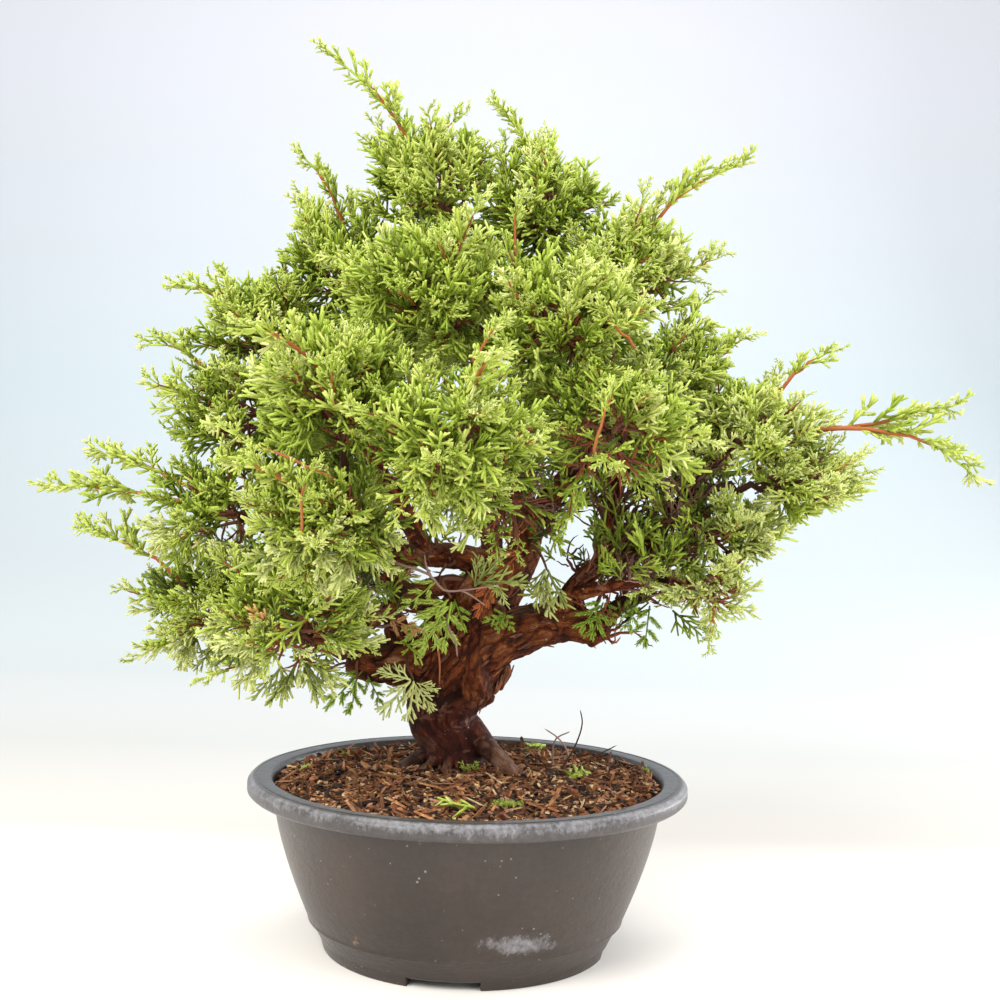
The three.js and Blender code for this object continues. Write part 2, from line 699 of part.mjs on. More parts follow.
// A named mesh of a solid in its colour.
function meshOf(name, solid, { color, roughness }) {
  const material = new THREE.MeshStandardMaterial({ color, roughness, metalness: 0, flatShading: true });
  const mesh = new THREE.Mesh(geometryOf(solid), material);
  mesh.name = name;
  return mesh;
}

const bonsai = new THREE.Group();
bonsai.add(meshOf("pot", potSolid(), COLOURS.pot));
bonsai.add(meshOf("soil", soilSolid(), COLOURS.soil));
for (const [name, solid] of limbSolids) bonsai.add(meshOf(name, solid, COLOURS.bark));
MASSES.forEach((mass, index) => {
  bonsai.add(meshOf("foliage_" + mass.name, massSolid(mass, index), COLOURS.foliage));
});

export default bonsai;
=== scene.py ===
"""An Itoigawa juniper grown as a bonsai in a round plastic pot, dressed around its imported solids.

Lengths are in millimetres up to the moment a mesh is made. The tree's tables and its rule of growth are
those of the part's source, carried on to finer twigs and sprays.
"""
import math

import bmesh
import bpy
import numpy as np
from mathutils import Matrix


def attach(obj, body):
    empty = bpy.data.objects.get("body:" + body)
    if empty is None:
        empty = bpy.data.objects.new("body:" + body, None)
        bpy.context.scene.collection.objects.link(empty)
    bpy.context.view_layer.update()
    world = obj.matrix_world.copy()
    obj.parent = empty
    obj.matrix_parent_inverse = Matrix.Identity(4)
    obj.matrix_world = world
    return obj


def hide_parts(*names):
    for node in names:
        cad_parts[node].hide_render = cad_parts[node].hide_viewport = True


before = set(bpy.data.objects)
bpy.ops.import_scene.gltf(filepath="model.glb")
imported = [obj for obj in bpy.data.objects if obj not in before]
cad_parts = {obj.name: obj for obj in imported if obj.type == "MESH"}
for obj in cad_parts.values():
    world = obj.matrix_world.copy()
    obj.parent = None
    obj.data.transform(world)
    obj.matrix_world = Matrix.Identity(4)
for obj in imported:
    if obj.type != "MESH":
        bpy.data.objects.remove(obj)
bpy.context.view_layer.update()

MM = 0.001
MOST_TRIANGLES = 185000
NOISE_CELLS = 32
UP = np.array([0.0, 0.0, 1.0])

# The camera stands where the photograph was taken from: its place, tilt and roll in radians, and its lens.
CAMERA_PLACE = (10.4, -568.2, 186.9)
CAMERA_DOWN = 0.0071
CAMERA_ROLL = 0.0234
CAMERA_LENS = 49.43
SENSOR = 36

# Driving dimensions of the pot
RIM_RADIUS = 90
POT_HEIGHT = 69.5
RIM_DEPTH = 6.5
LIP_RADIUS = 79.5
WALL = 2.2
FOOT_RADIUS = 58.4
FOOT_WIDTH = 4
FOOT_RECESS = 4.4
FLOOR_RADIUS = 59.4
BASE_RADIUS = 61.2
BASE_HEIGHT = 7.4
SHOULDER_RADIUS = 64.5
SHOULDER_HEIGHT = 12.4
NECK_RADIUS = 79.4
BELLY = 1.5
NOTCH_COUNT = 4
NOTCH_ANGLE = math.radians(28)
NOTCH_HEIGHT = 3.2
NOTCH_TURN = math.radians(-96.7)
NOTCH_EDGE = 0.0012
POT_COLUMNS = 176
GROOVE_INSET = 3.6
GROOVE_WIDTH = 1.4
GROOVE_DEPTH = 0.45

# Driving dimensions of the soil
GROUND = 71
GAP = 0.35
MOUND_RADIUS = 46
SOIL_EDGE = 67.3
SOIL_COLUMNS = 200
GRAIN_SHAPES = 5

# Rules of the foliage. A mass's space runs from 0 at its middle to 1 at its edge.
SEED = 20
SPACE_REACH = 1.12
SPACE_MARGIN = 0.05
LIMB_CLEARANCE = 1.2
LOWEST_SPRAY = GROUND + 17
LOWEST_SHOOT = GROUND + 40
RIGHT_END = 110
RIGHT_LEAN = 1.43
RIGHT_FOOT = 160
STEM_RADIUS = 2.2
STEM_TAPER = 0.8
STEM_ARCH = 0.08
MAIN_TWIGS = 11
SPRAY_TWIGS = 61
SHOOTS_PER_TWIG = 3
OPEN_WITHIN = 24
MOODS = 997
BRIGHTEST = 4

# Sprays: the radius of their cords, how far a cord thins to its tip, and the length of each kind.
CORD = 0.67
LOOSE_CORD = 0.6
CORD_TAPER = 0.66
FAN_LENGTH = 18
KNOB_LENGTH = 12
SHOOT_LENGTH = 13
LOOSE_LENGTH = 16
HANGING_LENGTH = 20
HANGING_REACH = 22
FEATHER_LENGTH = 18
FEATHER_REACH = 21
NEEDLES = 22

# Keys that keep the random numbers of one job apart from those of another. A mass's key is its number.
GRAIN_KEY = 40
SPRAY_KEY = 60
FEATHER_KEY = 70
CROWN_KEY = 80
SHOOT_KEY = 100
DETAIL_KEY = 110
TWIG_KEY = 120
FLAKE_KEY = 130

# Trunk and boughs from base to tip: x, y, z and radius at each place.
LIMBS = {
    "trunk": [
        (-5, 15, 64, 13.4), (-7, 14, 81, 13), (-12, 13, 90, 14.4), (-12, 12, 98, 17), (-9, 11, 108, 19.4),
        (-4, 10, 119, 20), (0, 11, 131, 18.6), (6, 13, 142, 14.6), (14, 16, 151, 10.4), (21, 18, 160, 6.8),
        (24, 18, 172, 5.4), (33, 14, 186, 4.9), (45, 6, 200, 4.3), (54, -1, 220, 3.6), (51, -2, 242, 3),
        (34, 4, 262, 2.4), (12, 8, 280, 1.8),
    ],
    "bough_right": [
        (2, 10, 121, 12), (22, 2, 129, 9.8), (38, -5, 133, 8), (49, -8, 131, 6.8), (54, -9, 126, 5.4),
    ],
    "bough_right_main": [
        (37, -5, 134, 6.2), (42, -8, 148, 4.6), (53, -10, 158, 4.0), (67, -12, 164, 3.5), (80, -14, 168, 2.9),
    ],
    "bough_right_upright": [(52, -10, 157, 4), (55, -8, 172, 3.4), (59, -7, 190, 2.9), (66, -7, 210, 2.3)],
    "bough_right_rise": [(68, -12, 164, 3.2), (80, -16, 180, 2.7), (90, -16, 194, 2.1)],
    "bough_right_low": [(41, -8, 145, 3.6), (53, -18, 149, 3), (66, -26, 152, 2.5), (78, -32, 153, 2)],
    "bough_right_short": [(50, -8, 131, 4.8), (57, -6, 138, 3.8), (66, -3, 144, 2.9), (76, 1, 147, 2.1)],
    "bough_left_thick": [(-10, 9, 111, 13), (-27, 4, 114, 10), (-41, 0, 114, 8.4), (-51, -3, 116, 6.2)],
    "stub_left": [(-28, 4, 116, 6.6), (-31, 3, 126, 6), (-33, 3, 134, 4.8)],
    "bough_left_low": [
        (-4, 8, 148, 4.6), (-22, -7, 145, 3.8), (-36, -13, 136, 3.4), (-48, -15, 128, 3),
        (-74, -10, 131, 2.4),
    ],
    "bough_left_arch": [
        (12, 15, 152, 6.6), (-4, 11, 158, 5.6), (-22, 6, 159, 5), (-46, -2, 160, 4.2), (-68, -8, 166, 3),
    ],
    "bough_left_rise": [(-20, 6, 161, 4.6), (-32, 14, 180, 4), (-48, 16, 204, 3.2), (-60, 14, 228, 2.4)],
    "bough_front_left": [
        (-34, 2, 161, 4.2), (-40, -25, 164, 3.6), (-45, -50, 170, 2.8), (-46, -66, 180, 2.2),
    ],
    "bough_front": [(24, 17, 176, 4.6), (20, -12, 184, 3.8), (10, -42, 190, 3), (1, -76, 194, 2.3)],
    "bough_front_right": [(53, 0, 216, 3.4), (51, -25, 216, 2.9), (49, -48, 213, 2.3)],
    "bough_front_upper": [(53, -2, 230, 3), (38, -26, 242, 2.5), (14, -46, 250, 2)],
    "bough_back_left": [(-4, 14, 126, 7.4), (-24, 38, 137, 5.4), (-40, 52, 145, 3.8)],
    "bough_back": [(8, 16, 146, 6.4), (6, 46, 168, 4.8), (-4, 74, 184, 3.2)],
    "bough_back_right": [(34, 13, 187, 4.2), (45, 36, 198, 3.4), (54, 50, 206, 2.6)],
    "bough_back_upper": [(52, -2, 236, 2.8), (36, 24, 248, 2.4), (12, 40, 256, 2)],
}

# Surface roots: turn from +X in degrees, reach across the mound, radius, and height up the trunk.
ROOTS = [
    (-42, 36, 6.6, 17), (-78, 19, 3.4, 10), (-104, 21, 4.2, 10), (-132, 24, 3.2, 9), (-158, 26, 3.4, 8),
    (196, 27, 4.6, 9), (120, 25, 5.6, 11), (35, 27, 6, 12),
]

# Masses of foliage: the limb each stem leaves and how far along, its middle and half-sizes.
MASSES = {
    "low_left": ("bough_left_low", 1, (-108, 8, 134), (30, 30, 23)),
    "low_left_front": ("bough_left_thick", 1, (-68, -46, 132), (29, 27, 24)),
    "left": ("bough_left_arch", 1, (-100, -8, 175), (31, 32, 24)),
    "left_mid": ("bough_left_rise", 0.6, (-97, 2, 217), (30, 30, 25)),
    "left_upper": ("bough_left_rise", 1, (-88, 14, 253), (28, 28, 22)),
    "upper_left": ("bough_left_rise", 0.84, (-57, 18, 282), (27, 28, 24)),
    "top": ("trunk", 1, (-22, 6, 310), (27, 27, 27)),
    "top_right": ("trunk", 0.96, (22, 10, 304), (27, 28, 26)),
    "upper_right": ("trunk", 0.88, (60, 0, 276), (27, 28, 25)),
    "right_mid": ("bough_right_upright", 1, (74, -8, 236), (28, 28, 24)),
    "right": ("bough_right_rise", 1, (112, -15, 211), (29, 28, 20)),
    "right_far": ("bough_right_rise", 0.75, (132, -20, 191), (20, 22, 15)),
    "right_low": ("bough_right_main", 1, (101, -18, 172), (22, 24, 16)),
    "right_lowest": ("bough_right_low", 1, (94, -30, 150), (21, 26, 13)),
    "front_upper": ("bough_front_upper", 1, (-14, -66, 257), (29, 28, 24)),
    "front_right_upper": ("bough_front_upper", 0.75, (31, -76, 246), (27, 27, 24)),
    "front_left": ("bough_front_left", 1, (-46, -90, 218), (29, 27, 25)),
    "front_centre": ("bough_front", 1, (-4, -112, 200), (28, 28, 24)),
    "front_right": ("bough_front_right", 1, (49, -84, 206), (27, 27, 25)),
    "front_low_left": ("bough_front_left", 0.8, (-47, -92, 173), (28, 26, 21)),
    "front_low": ("bough_front", 0.75, (13, -66, 179), (23, 23, 17)),
    "back_left": ("bough_back_left", 1, (-63, 72, 152), (33, 32, 25)),
    "back_low": ("bough_back", 1, (-6, 106, 195), (33, 32, 24)),
    "back_mid_left": ("bough_back", 0.75, (-58, 76, 208), (33, 32, 27)),
    "back_mid_right": ("bough_back_right", 1, (44, 92, 222), (33, 32, 25)),
    "back_right": ("bough_back_right", 0.85, (84, 46, 210), (31, 30, 24)),
    "back_upper": ("bough_back_upper", 1, (-20, 58, 261), (32, 30, 25)),
    "back_upper_right": ("bough_back_upper", 0.7, (35, 52, 268), (30, 30, 25)),
    "inner_top": ("trunk", 0.92, (-30, -14, 262), (28, 28, 25)),
    "tuft_left": ("trunk", 0.36, (-22, -21, 118), (17, 10, 25)),
}

# Long new shoots that stand out of a mass: its name, the bend and the tip.
SHOOTS = [
    ("top", (-34, 3, 346), (-70, 0, 370)),
    ("top", (-20, 4, 338), (-5, 4, 345)),
    ("top", (-7, 0, 318), (-2, 0, 331)),
    ("top_right", (26, 15, 334), (1, 10, 352)),
    ("upper_left", (-60, 12, 316), (-80, 5, 327)),
    ("upper_right", (76, -2, 316), (111, -10, 323)),
    ("right", (128, -15, 244), (148, -15, 247)),
    ("right", (160, -22, 215), (194, -25, 226)),
    ("right", (178, -28, 222), (199, -30, 193)),
    ("left_upper", (-112, 10, 271), (-133, 10, 269)),
    ("left_mid", (-124, 8, 250), (-143, 10, 244)),
    ("left", (-146, 18, 200), (-172, 35, 198)),
    ("left", (-158, 26, 186), (-199, 50, 184)),
    ("low_left", (-146, 12, 166), (-173, 20, 166)),
    ("front_left", (-58, -116, 238), (-78, -130, 239)),
    ("front_centre", (2, -142, 228), (10, -158, 229)),
    ("front_low_left", (-64, -114, 194), (-80, -128, 196)),
    ("back_low", (-4, 142, 216), (-2, 158, 218)),
    ("back_right", (112, 66, 232), (128, 78, 231)),
    ("back_mid_left", (-84, 104, 232), (-100, 118, 228)),
    ("back_mid_right", (66, 122, 240), (78, 134, 238)),
]


def unit(vectors):
    """Vectors divided by their lengths."""
    return vectors / np.maximum(np.linalg.norm(vectors, axis=-1, keepdims=True), 1e-9)


def smooth(low, high, values):
    """0 below low and 1 above high, with 3 t² - 2 t³ between."""
    t = np.clip((values - low) / (high - low), 0, 1)
    return t * t * (3 - 2 * t)


def lattice_noise(points, seed):
    """Random values at whole-number places, blended between the eight around each point, from -1 to 1."""
    table = np.random.default_rng(seed).random((NOISE_CELLS,) * 3).astype(np.float32)
    cell = np.floor(points).astype(int)
    share = points - cell
    share = share * share * (3 - 2 * share)
    total = 0
    for corner in np.ndindex(2, 2, 2):
        weight = np.prod(np.where(corner, share, 1 - share), axis=-1)
        i, j, k = np.moveaxis((cell + corner) % NOISE_CELLS, -1, 0)
        total = total + weight * table[i, j, k]
    return 2 * total - 1


def fractal(points, seed, octaves=3):
    """Lattice noise summed at doubling fineness and halving strength."""
    return sum(lattice_noise(points * 2**k + 7.3 * k, seed + k) / 2**k for k in range(octaves))


def seeded(*parts):
    """A source of random numbers that is the same on every run."""
    return np.random.default_rng([SEED, *parts])


def curve(places, count):
    """Count points and radii along a limb: a centripetal Catmull-Rom curve through its places, which has the
    same share of its steps between each two of them, and a radius that runs straight from one to the next."""
    places = np.array(places, float)
    points, radii = places[:, :3], places[:, 3]
    ends = np.vstack([2 * points[0] - points[1], points, 2 * points[-1] - points[-2]])
    t = np.linspace(0, len(points) - 1, count)
    first = np.minimum(t.astype(int), len(points) - 2)
    w = (t - first)[:, None]
    a, b, c, d = (ends[first + k] for k in range(4))
    ab, bc, cd = (np.sqrt(np.linalg.norm(q - p, axis=1))[:, None] for p, q in ((a, b), (b, c), (c, d)))
    leave = ((b - a) / ab - (c - a) / (ab + bc) + (c - b) / bc) * bc
    arrive = ((c - b) / bc - (d - b) / (bc + cd) + (d - c) / cd) * bc
    bent = b + w * leave + w**2 * (3 * (c - b) - 2 * leave - arrive) + w**3 * (2 * (b - c) + leave + arrive)
    w = w[:, 0]
    return bent, radii[first] * (1 - w) + radii[first + 1] * w


def bezier(start, bend, end, t):
    """Points at shares t of the curves from start towards bend to end: (1-t)² a + 2 t (1-t) b + t² c."""
    t = np.asarray(t, float)[..., None]
    return (1 - t) ** 2 * start + 2 * t * (1 - t) * bend + t**2 * end


def bezier_way(start, bend, end, t):
    """Unit tangents of those curves."""
    t = np.asarray(t, float)[..., None]
    return unit((1 - t) * (bend - start) + t * (end - bend))


# Batches: many like shapes at once, as points of shape count × corners × 3 and the faces of one of them.


def tubes(centres, radii, sides):
    """Closed tubes, one per row of centres. Each station but the first and last has a ring of the given
    radius, square to the path, and the two end stations are the poles that close it."""
    ways = unit(np.gradient(centres, axis=1))
    side = np.cross(ways[:, 0], np.where(abs(ways[:, :1, 2]) > 0.8, (1.0, 0.0, 0.0), (0.0, 0.0, 1.0)))
    sides_at = []
    for way in np.moveaxis(ways, 1, 0):
        side = unit(side - way * np.sum(side * way, axis=-1, keepdims=True))
        sides_at.append(side)
    across = np.stack(sides_at, 1)[:, 1:-1, None]
    other = np.cross(ways[:, 1:-1, None], across)
    turn = 2 * np.pi * np.arange(sides) / sides
    rings = np.cos(turn)[:, None] * across + np.sin(turn)[:, None] * other
    radii = radii[:, 1:-1].reshape(len(centres), centres.shape[1] - 2, -1, 1)
    rings = (centres[:, 1:-1, None] + radii * rings).reshape(len(centres), -1, 3)
    points = np.concatenate([rings, centres[:, :1], centres[:, -1:]], axis=1)
    return points, tube_faces(centres.shape[1] - 2, sides)


def tube_faces(rings, sides):
    """Quads between neighbouring rings, and triangles from each end ring to its pole, all facing out."""
    here = np.arange(sides)
    after = (here + 1) % sides
    bands = [np.stack([k + here, k + after, k + sides + after, k + sides + here], 1)
             for k in sides * np.arange(rings - 1)]
    quads = np.concatenate(bands) if bands else np.zeros((0, 4), int)
    start, end = rings * sides, rings * sides + 1
    last = (rings - 1) * sides
    first_fan = np.stack([np.full(sides, start), after, here], 1)
    last_fan = np.stack([np.full(sides, end), last + here, last + after], 1)
    return quads, np.concatenate([first_fan, last_fan])


def as_one(batch):
    """A batch's shapes as a single shape: its points, and faces that count on through them."""
    points, faces = batch
    count, corners = points.shape[:2]
    jump = (corners * np.arange(count))[:, None, None]
    return points.reshape(-1, 3), [(face[None] + jump).reshape(-1, face.shape[1]) for face in faces]


def tube(centres, radii, sides):
    """One closed tube, as a single shape."""
    return as_one(tubes(centres[None], radii[None], sides))


def joined(shapes):
    """Shapes as a single one: their points in a row, and their faces by how many corners they have."""
    points, faces, jump = [], {3: [], 4: []}, 0
    for own_points, own_faces in shapes:
        points.append(own_points)
        for face in own_faces:
            faces[face.shape[1]].append(face + jump)
        jump += len(own_points)
    return np.concatenate(points), [np.concatenate(arrays) for arrays in faces.values() if arrays]


def copies(shape, where, turn):
    """A batch of copies of one shape, each turned by its matrix and moved to its place."""
    points, faces = shape
    return np.einsum("nij,vj->nvi", turn, points) + where[:, None], faces


def turns_to(way, flat):
    """Matrices that carry +X to a way and +Z as near to flat as is square to it."""
    x = unit(way)
    y = unit(np.cross(flat, x))
    return np.stack([x, y, np.cross(x, y)], axis=2)


def random_turns(count, rng):
    """Turns spread evenly over all directions, from random unit quaternions."""
    w, x, y, z = unit(rng.normal(size=(count, 4))).T
    rows = [
        [1 - 2 * (y * y + z * z), 2 * (x * y - z * w), 2 * (x * z + y * w)],
        [2 * (x * y + z * w), 1 - 2 * (x * x + z * z), 2 * (y * z - x * w)],
        [2 * (x * z - y * w), 2 * (y * z + x * w), 1 - 2 * (x * x + y * y)],
    ]
    return np.moveaxis(np.array(rows), 2, 0)


def triangles_of(faces):
    """How many triangles a list of face arrays makes."""
    return sum(len(face) * (face.shape[1] - 2) for face in faces)


class Pile:
    """Small shapes of one colour, heaped up and then written as pieces that stay under the triangle limit."""

    def __init__(self):
        self.batches = []

    def add(self, batch):
        if len(batch[0]):
            self.batches.append(batch)

    def parts(self):
        """Lists of batches, each list small enough for one piece."""
        part, used = [], 0
        for points, faces in self.batches:
            each = triangles_of(faces)
            while len(points):
                fits = int((MOST_TRIANGLES - used) // each)
                if fits == 0:
                    yield part
                    part, used = [], 0
                    continue
                part.append((points[:fits], faces))
                used += each * min(fits, len(points))
                points = points[fits:]
        if part:
            yield part


def make_mesh(name, points, faces, flat=False):
    """A mesh from points in millimetres and a list of face arrays, one array for each number of corners."""
    mesh = bpy.data.meshes.new(name)
    mesh.vertices.add(len(points))
    mesh.vertices.foreach_set("co", np.asarray(points * MM, np.float32).ravel())
    corners = np.concatenate([face.ravel() for face in faces])
    sizes = np.concatenate([np.full(len(face), face.shape[1]) for face in faces])
    mesh.loops.add(len(corners))
    mesh.loops.foreach_set("vertex_index", corners.astype(np.int32))
    mesh.polygons.add(len(sizes))
    mesh.polygons.foreach_set("loop_start", (np.cumsum(sizes) - sizes).astype(np.int32))
    mesh.update(calc_edges=True)
    mesh.validate()
    if flat:
        mesh.shade_flat()
    else:
        mesh.shade_smooth()
    return mesh


def read_vertices(mesh, field):
    """The places or the normals of a mesh's vertices, in its own units."""
    values = np.empty(len(mesh.vertices) * 3, np.float32)
    mesh.vertices.foreach_get(field, values)
    return values.reshape(-1, 3)


def keep_values(mesh, name, values):
    """Keeps a number, or three, at each vertex of a mesh for its finish to read."""
    kind, field = ("FLOAT", "value") if values.ndim == 1 else ("FLOAT_VECTOR", "vector")
    mesh.attributes.new(name, kind, "POINT").data.foreach_set(field, values.astype(np.float32).ravel())


def add_piece(name, mesh, material, nodes=()):
    """A piece of the plant or pot that rides on its body and stands for the nodes it is given."""
    piece = bpy.data.objects.new(name, mesh)
    bpy.context.scene.collection.objects.link(piece)
    mesh.materials.clear()
    mesh.materials.append(material)
    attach(piece, "root")
    if nodes:
        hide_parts(*nodes)
    return piece


def write_pile(name, pile, material, nodes=(), flat=False):
    """The pieces of one pile, numbered where there is more than one."""
    for number, part in enumerate(pile.parts()):
        mesh = make_mesh(name, *joined(as_one(batch) for batch in part), flat)
        add_piece(f"{name}_{number + 1}" if number else name, mesh, material, nodes)


# Materials


def linear(colour):
    """An sRGB colour written as six hex digits, as linear values with alpha."""
    parts = np.array([int(colour[k:k + 2], 16) for k in (0, 2, 4)]) / 255
    parts = np.where(parts <= 0.04045, parts / 12.92, ((parts + 0.055) / 1.055) ** 2.4)
    return (*parts.tolist(), 1.0)


class Value:
    """A shader socket that can be added, multiplied and so on. Each operator adds a Math node."""

    def __init__(self, finish, socket):
        self.finish = finish
        self.socket = socket

    def with_other(self, operation, first, second):
        return self.finish.node("ShaderNodeMath", {"operation": operation}, {0: first, 1: second})

    def __add__(self, other):
        return self.with_other("ADD", self, other)

    def __radd__(self, other):
        return self.with_other("ADD", other, self)

    def __sub__(self, other):
        return self.with_other("SUBTRACT", self, other)

    def __rsub__(self, other):
        return self.with_other("SUBTRACT", other, self)

    def __mul__(self, other):
        return self.with_other("MULTIPLY", self, other)

    def __rmul__(self, other):
        return self.with_other("MULTIPLY", other, self)


class Finish:
    """A material around one Principled shader. node() adds any node, and the other methods call it."""

    def __init__(self, name, colour, roughness, **settings):
        self.material = bpy.data.materials.new(name)
        self.material.use_nodes = True
        self.tree = self.material.node_tree
        self.shader = self.tree.nodes["Principled BSDF"]
        self.put(self.shader.inputs["Base Color"], linear(colour))
        self.put(self.shader.inputs["Roughness"], roughness)
        for socket, value in settings.items():
            self.put(self.shader.inputs[socket.replace("_", " ")], value)

    def put(self, socket, value):
        """Links a value to a socket, or sets the socket to a plain number or colour."""
        if isinstance(value, Value):
            self.tree.links.new(value.socket, socket)
        else:
            socket.default_value = value

    def node(self, kind, settings, inputs, output=0):
        """A node with its settings and its sockets, by name or number, as the value of one output."""
        made = self.tree.nodes.new(kind)
        for name, value in settings.items():
            if name == "stops":
                self.set_stops(made.color_ramp, value)
            else:
                setattr(made, name, value)
        for socket, value in inputs.items():
            self.put(made.inputs[socket], value)
        return Value(self, made.outputs[output])

    def set_stops(self, ramp, stops):
        """A ramp's stops, as pairs of a place and a colour in hex."""
        while len(ramp.elements) < len(stops):
            ramp.elements.new(1.0)
        for element, (place, colour) in zip(ramp.elements, stops):
            element.position = place
            element.color = linear(colour)

    def places(self):
        """Object coordinates, in metres."""
        return self.node("ShaderNodeTexCoord", {}, {}, "Object")

    def attribute(self, name, output):
        """A value that the mesh carries at each vertex."""
        return self.node("ShaderNodeAttribute", {"attribute_name": name}, {}, output)

    def along(self, coordinates, axis):
        """One coordinate, by its letter."""
        return self.node("ShaderNodeSeparateXYZ", {}, {0: coordinates}, axis)

    def stretched(self, coordinates, scale):
        """Coordinates scaled differently along each axis."""
        return self.node("ShaderNodeMapping", {}, {"Vector": coordinates, "Scale": scale})

    def noise(self, coordinates, scale, detail=3.0, roughness=0.55):
        """A noise texture's value from 0 to 1."""
        values = {"Vector": coordinates, "Scale": scale, "Detail": detail, "Roughness": roughness}
        return self.node("ShaderNodeTexNoise", {}, values, 0)

    def cells(self, coordinates, scale, output="Distance"):
        """Distance to the nearest of scattered points, or another output of the Voronoi texture."""
        return self.node("ShaderNodeTexVoronoi", {}, {"Vector": coordinates, "Scale": scale}, output)

    def ramp(self, factor, stops):
        """A colour that changes with a value, by stops."""
        return self.node("ShaderNodeValToRGB", {"stops": stops}, {0: factor})

    def between(self, factor, low, high):
        """0 below low and 1 above high, and straight between."""
        settings = {"clamp": True}
        values = {"Value": factor, "From Min": low, "From Max": high}
        return self.node("ShaderNodeMapRange", settings, values)

    def mix(self, factor, first, second):
        """The first colour where the factor is 0 and the second where it is 1. Colours may be hex."""
        first, second = (linear(c) if isinstance(c, str) else c for c in (first, second))
        return self.node("ShaderNodeMix", {"data_type": "RGBA"}, {0: factor, 6: first, 7: second}, 2)

    def set(self, socket, value):
        """Links a value to one of the shader's own sockets."""
        self.put(self.shader.inputs[socket], value)

    def bump(self, height, strength, distance):
        """Relief of a height, with the distance in millimetres."""
        values = {"Height": height, "Strength": strength, "Distance": distance * MM}
        self.set("Normal", self.node("ShaderNodeBump", {}, values))


def bark_finish():
    """Red-brown flaking bark: slabs and small flakes that follow the limb with thin dark edges, which are
    painted shade, a tone darkened in crevices, the hollow and the crease as painted shade, a smoother dark
    red foot, and grey-brown in patches on faces that point up."""
    finish = Finish("bark", "461e0e", 0.85, Specular_IOR_Level=0.25)
    places = finish.places()
    grain = finish.attribute("grain", "Vector")
    relief = finish.attribute("relief", "Fac")
    fibres = finish.noise(finish.stretched(grain, (1.0, 1.0, 0.1)), 1.0, 5.0, 0.6)
    patches = finish.noise(finish.stretched(grain, (0.12, 0.12, 0.04)), 1.0, 2.0)
    broad = finish.stretched(grain, (0.3, 0.3, 0.1))
    swirl = finish.node("ShaderNodeTexNoise", {}, {"Vector": broad}, "Color")
    swirl = finish.node("ShaderNodeVectorMath", {"operation": "SCALE"}, {0: swirl, "Scale": 1.3})
    slot = finish.node("ShaderNodeVectorMath", {"operation": "ADD"},
                       {0: finish.stretched(grain, (0.42, 0.42, 0.13)), 1: swirl})
    flake = finish.node("ShaderNodeSeparateColor", {}, {0: finish.cells(slot, 1.0, "Color")})
    rim = finish.node("ShaderNodeTexVoronoi", {"feature": "DISTANCE_TO_EDGE"}, {"Vector": slot, "Scale": 1.0})
    edge = 1 - finish.between(rim, 0.0, 0.09)
    fine = finish.noise(finish.stretched(grain, (2.4, 2.4, 0.7)), 1.0, 4.0, 0.7)
    # The tone is low in crevices, the hollow and the crease: painted shade.
    tone = relief * 0.56 + fibres * 0.38 + flake * 0.22 + fine * 0.26 - 0.23
    brown = finish.ramp(tone, [
        (0.12, "260c04"), (0.3, "4e230d"), (0.5, "783d1a"), (0.7, "9b6640"), (0.92, "c8a48a"),
    ])
    rusty = finish.ramp(tone, [(0.12, "290c04"), (0.34, "5e250a"), (0.58, "904b25"), (0.92, "bd875e")])
    colour = finish.mix(finish.between(patches, 0.42, 0.6), brown, rusty)
    height = finish.along(places, "Z")
    foot = 1 - finish.between(height + fibres * 0.01, 0.1, 0.108)
    smoother = finish.ramp(tone, [(0.12, "1f0703"), (0.42, "421509"), (0.6, "5c2818"), (0.9, "a07c62")])
    colour = finish.mix(foot, colour, smoother)
    scars = finish.noise(finish.stretched(grain, (0.16, 0.16, 0.3)), 1.0, 2.0)
    colour = finish.mix(foot * finish.between(scars, 0.6, 0.64) * 0.5, colour, "8c5f50")
    root = finish.between(finish.attribute("root", "Fac"), 0.2, 0.8)
    dusty = finish.ramp(tone, [(0.2, "3c2016"), (0.5, "7a5440"), (0.85, "b89880")])
    colour = finish.mix(root * 0.75, colour, dusty)
    # Grey-brown in patches on faces that point up.
    worn = finish.between(finish.attribute("worn", "Fac"), 0.35, 0.9)
    colour = finish.mix(worn * 0.55, colour, "75604f")
    # Thin dark lines along the slabs' edges, where patches and fibres run high, are painted shade.
    edge_shade_mask = finish.between(patches + fibres * 0.5, 0.6, 0.8)
    colour = finish.mix(edge * edge_shade_mask * (0.62 - foot * 0.45), colour, "1a0905")
    specks = finish.cells(places, 210.0) + finish.noise(places, 60.0) * 0.25
    colour = finish.mix(1 - finish.between(specks, 0.16, 0.19), colour, "a8a097")
    finish.set("Base Color", colour)
    finish.set("Roughness", 0.9 - foot * 0.3)
    finish.bump(flake * (0.9 - foot * 0.7) + fibres * 0.5 + fine * 0.7 - edge * (0.4 - foot * 0.3), 1.0, 1.0)
    return finish.material


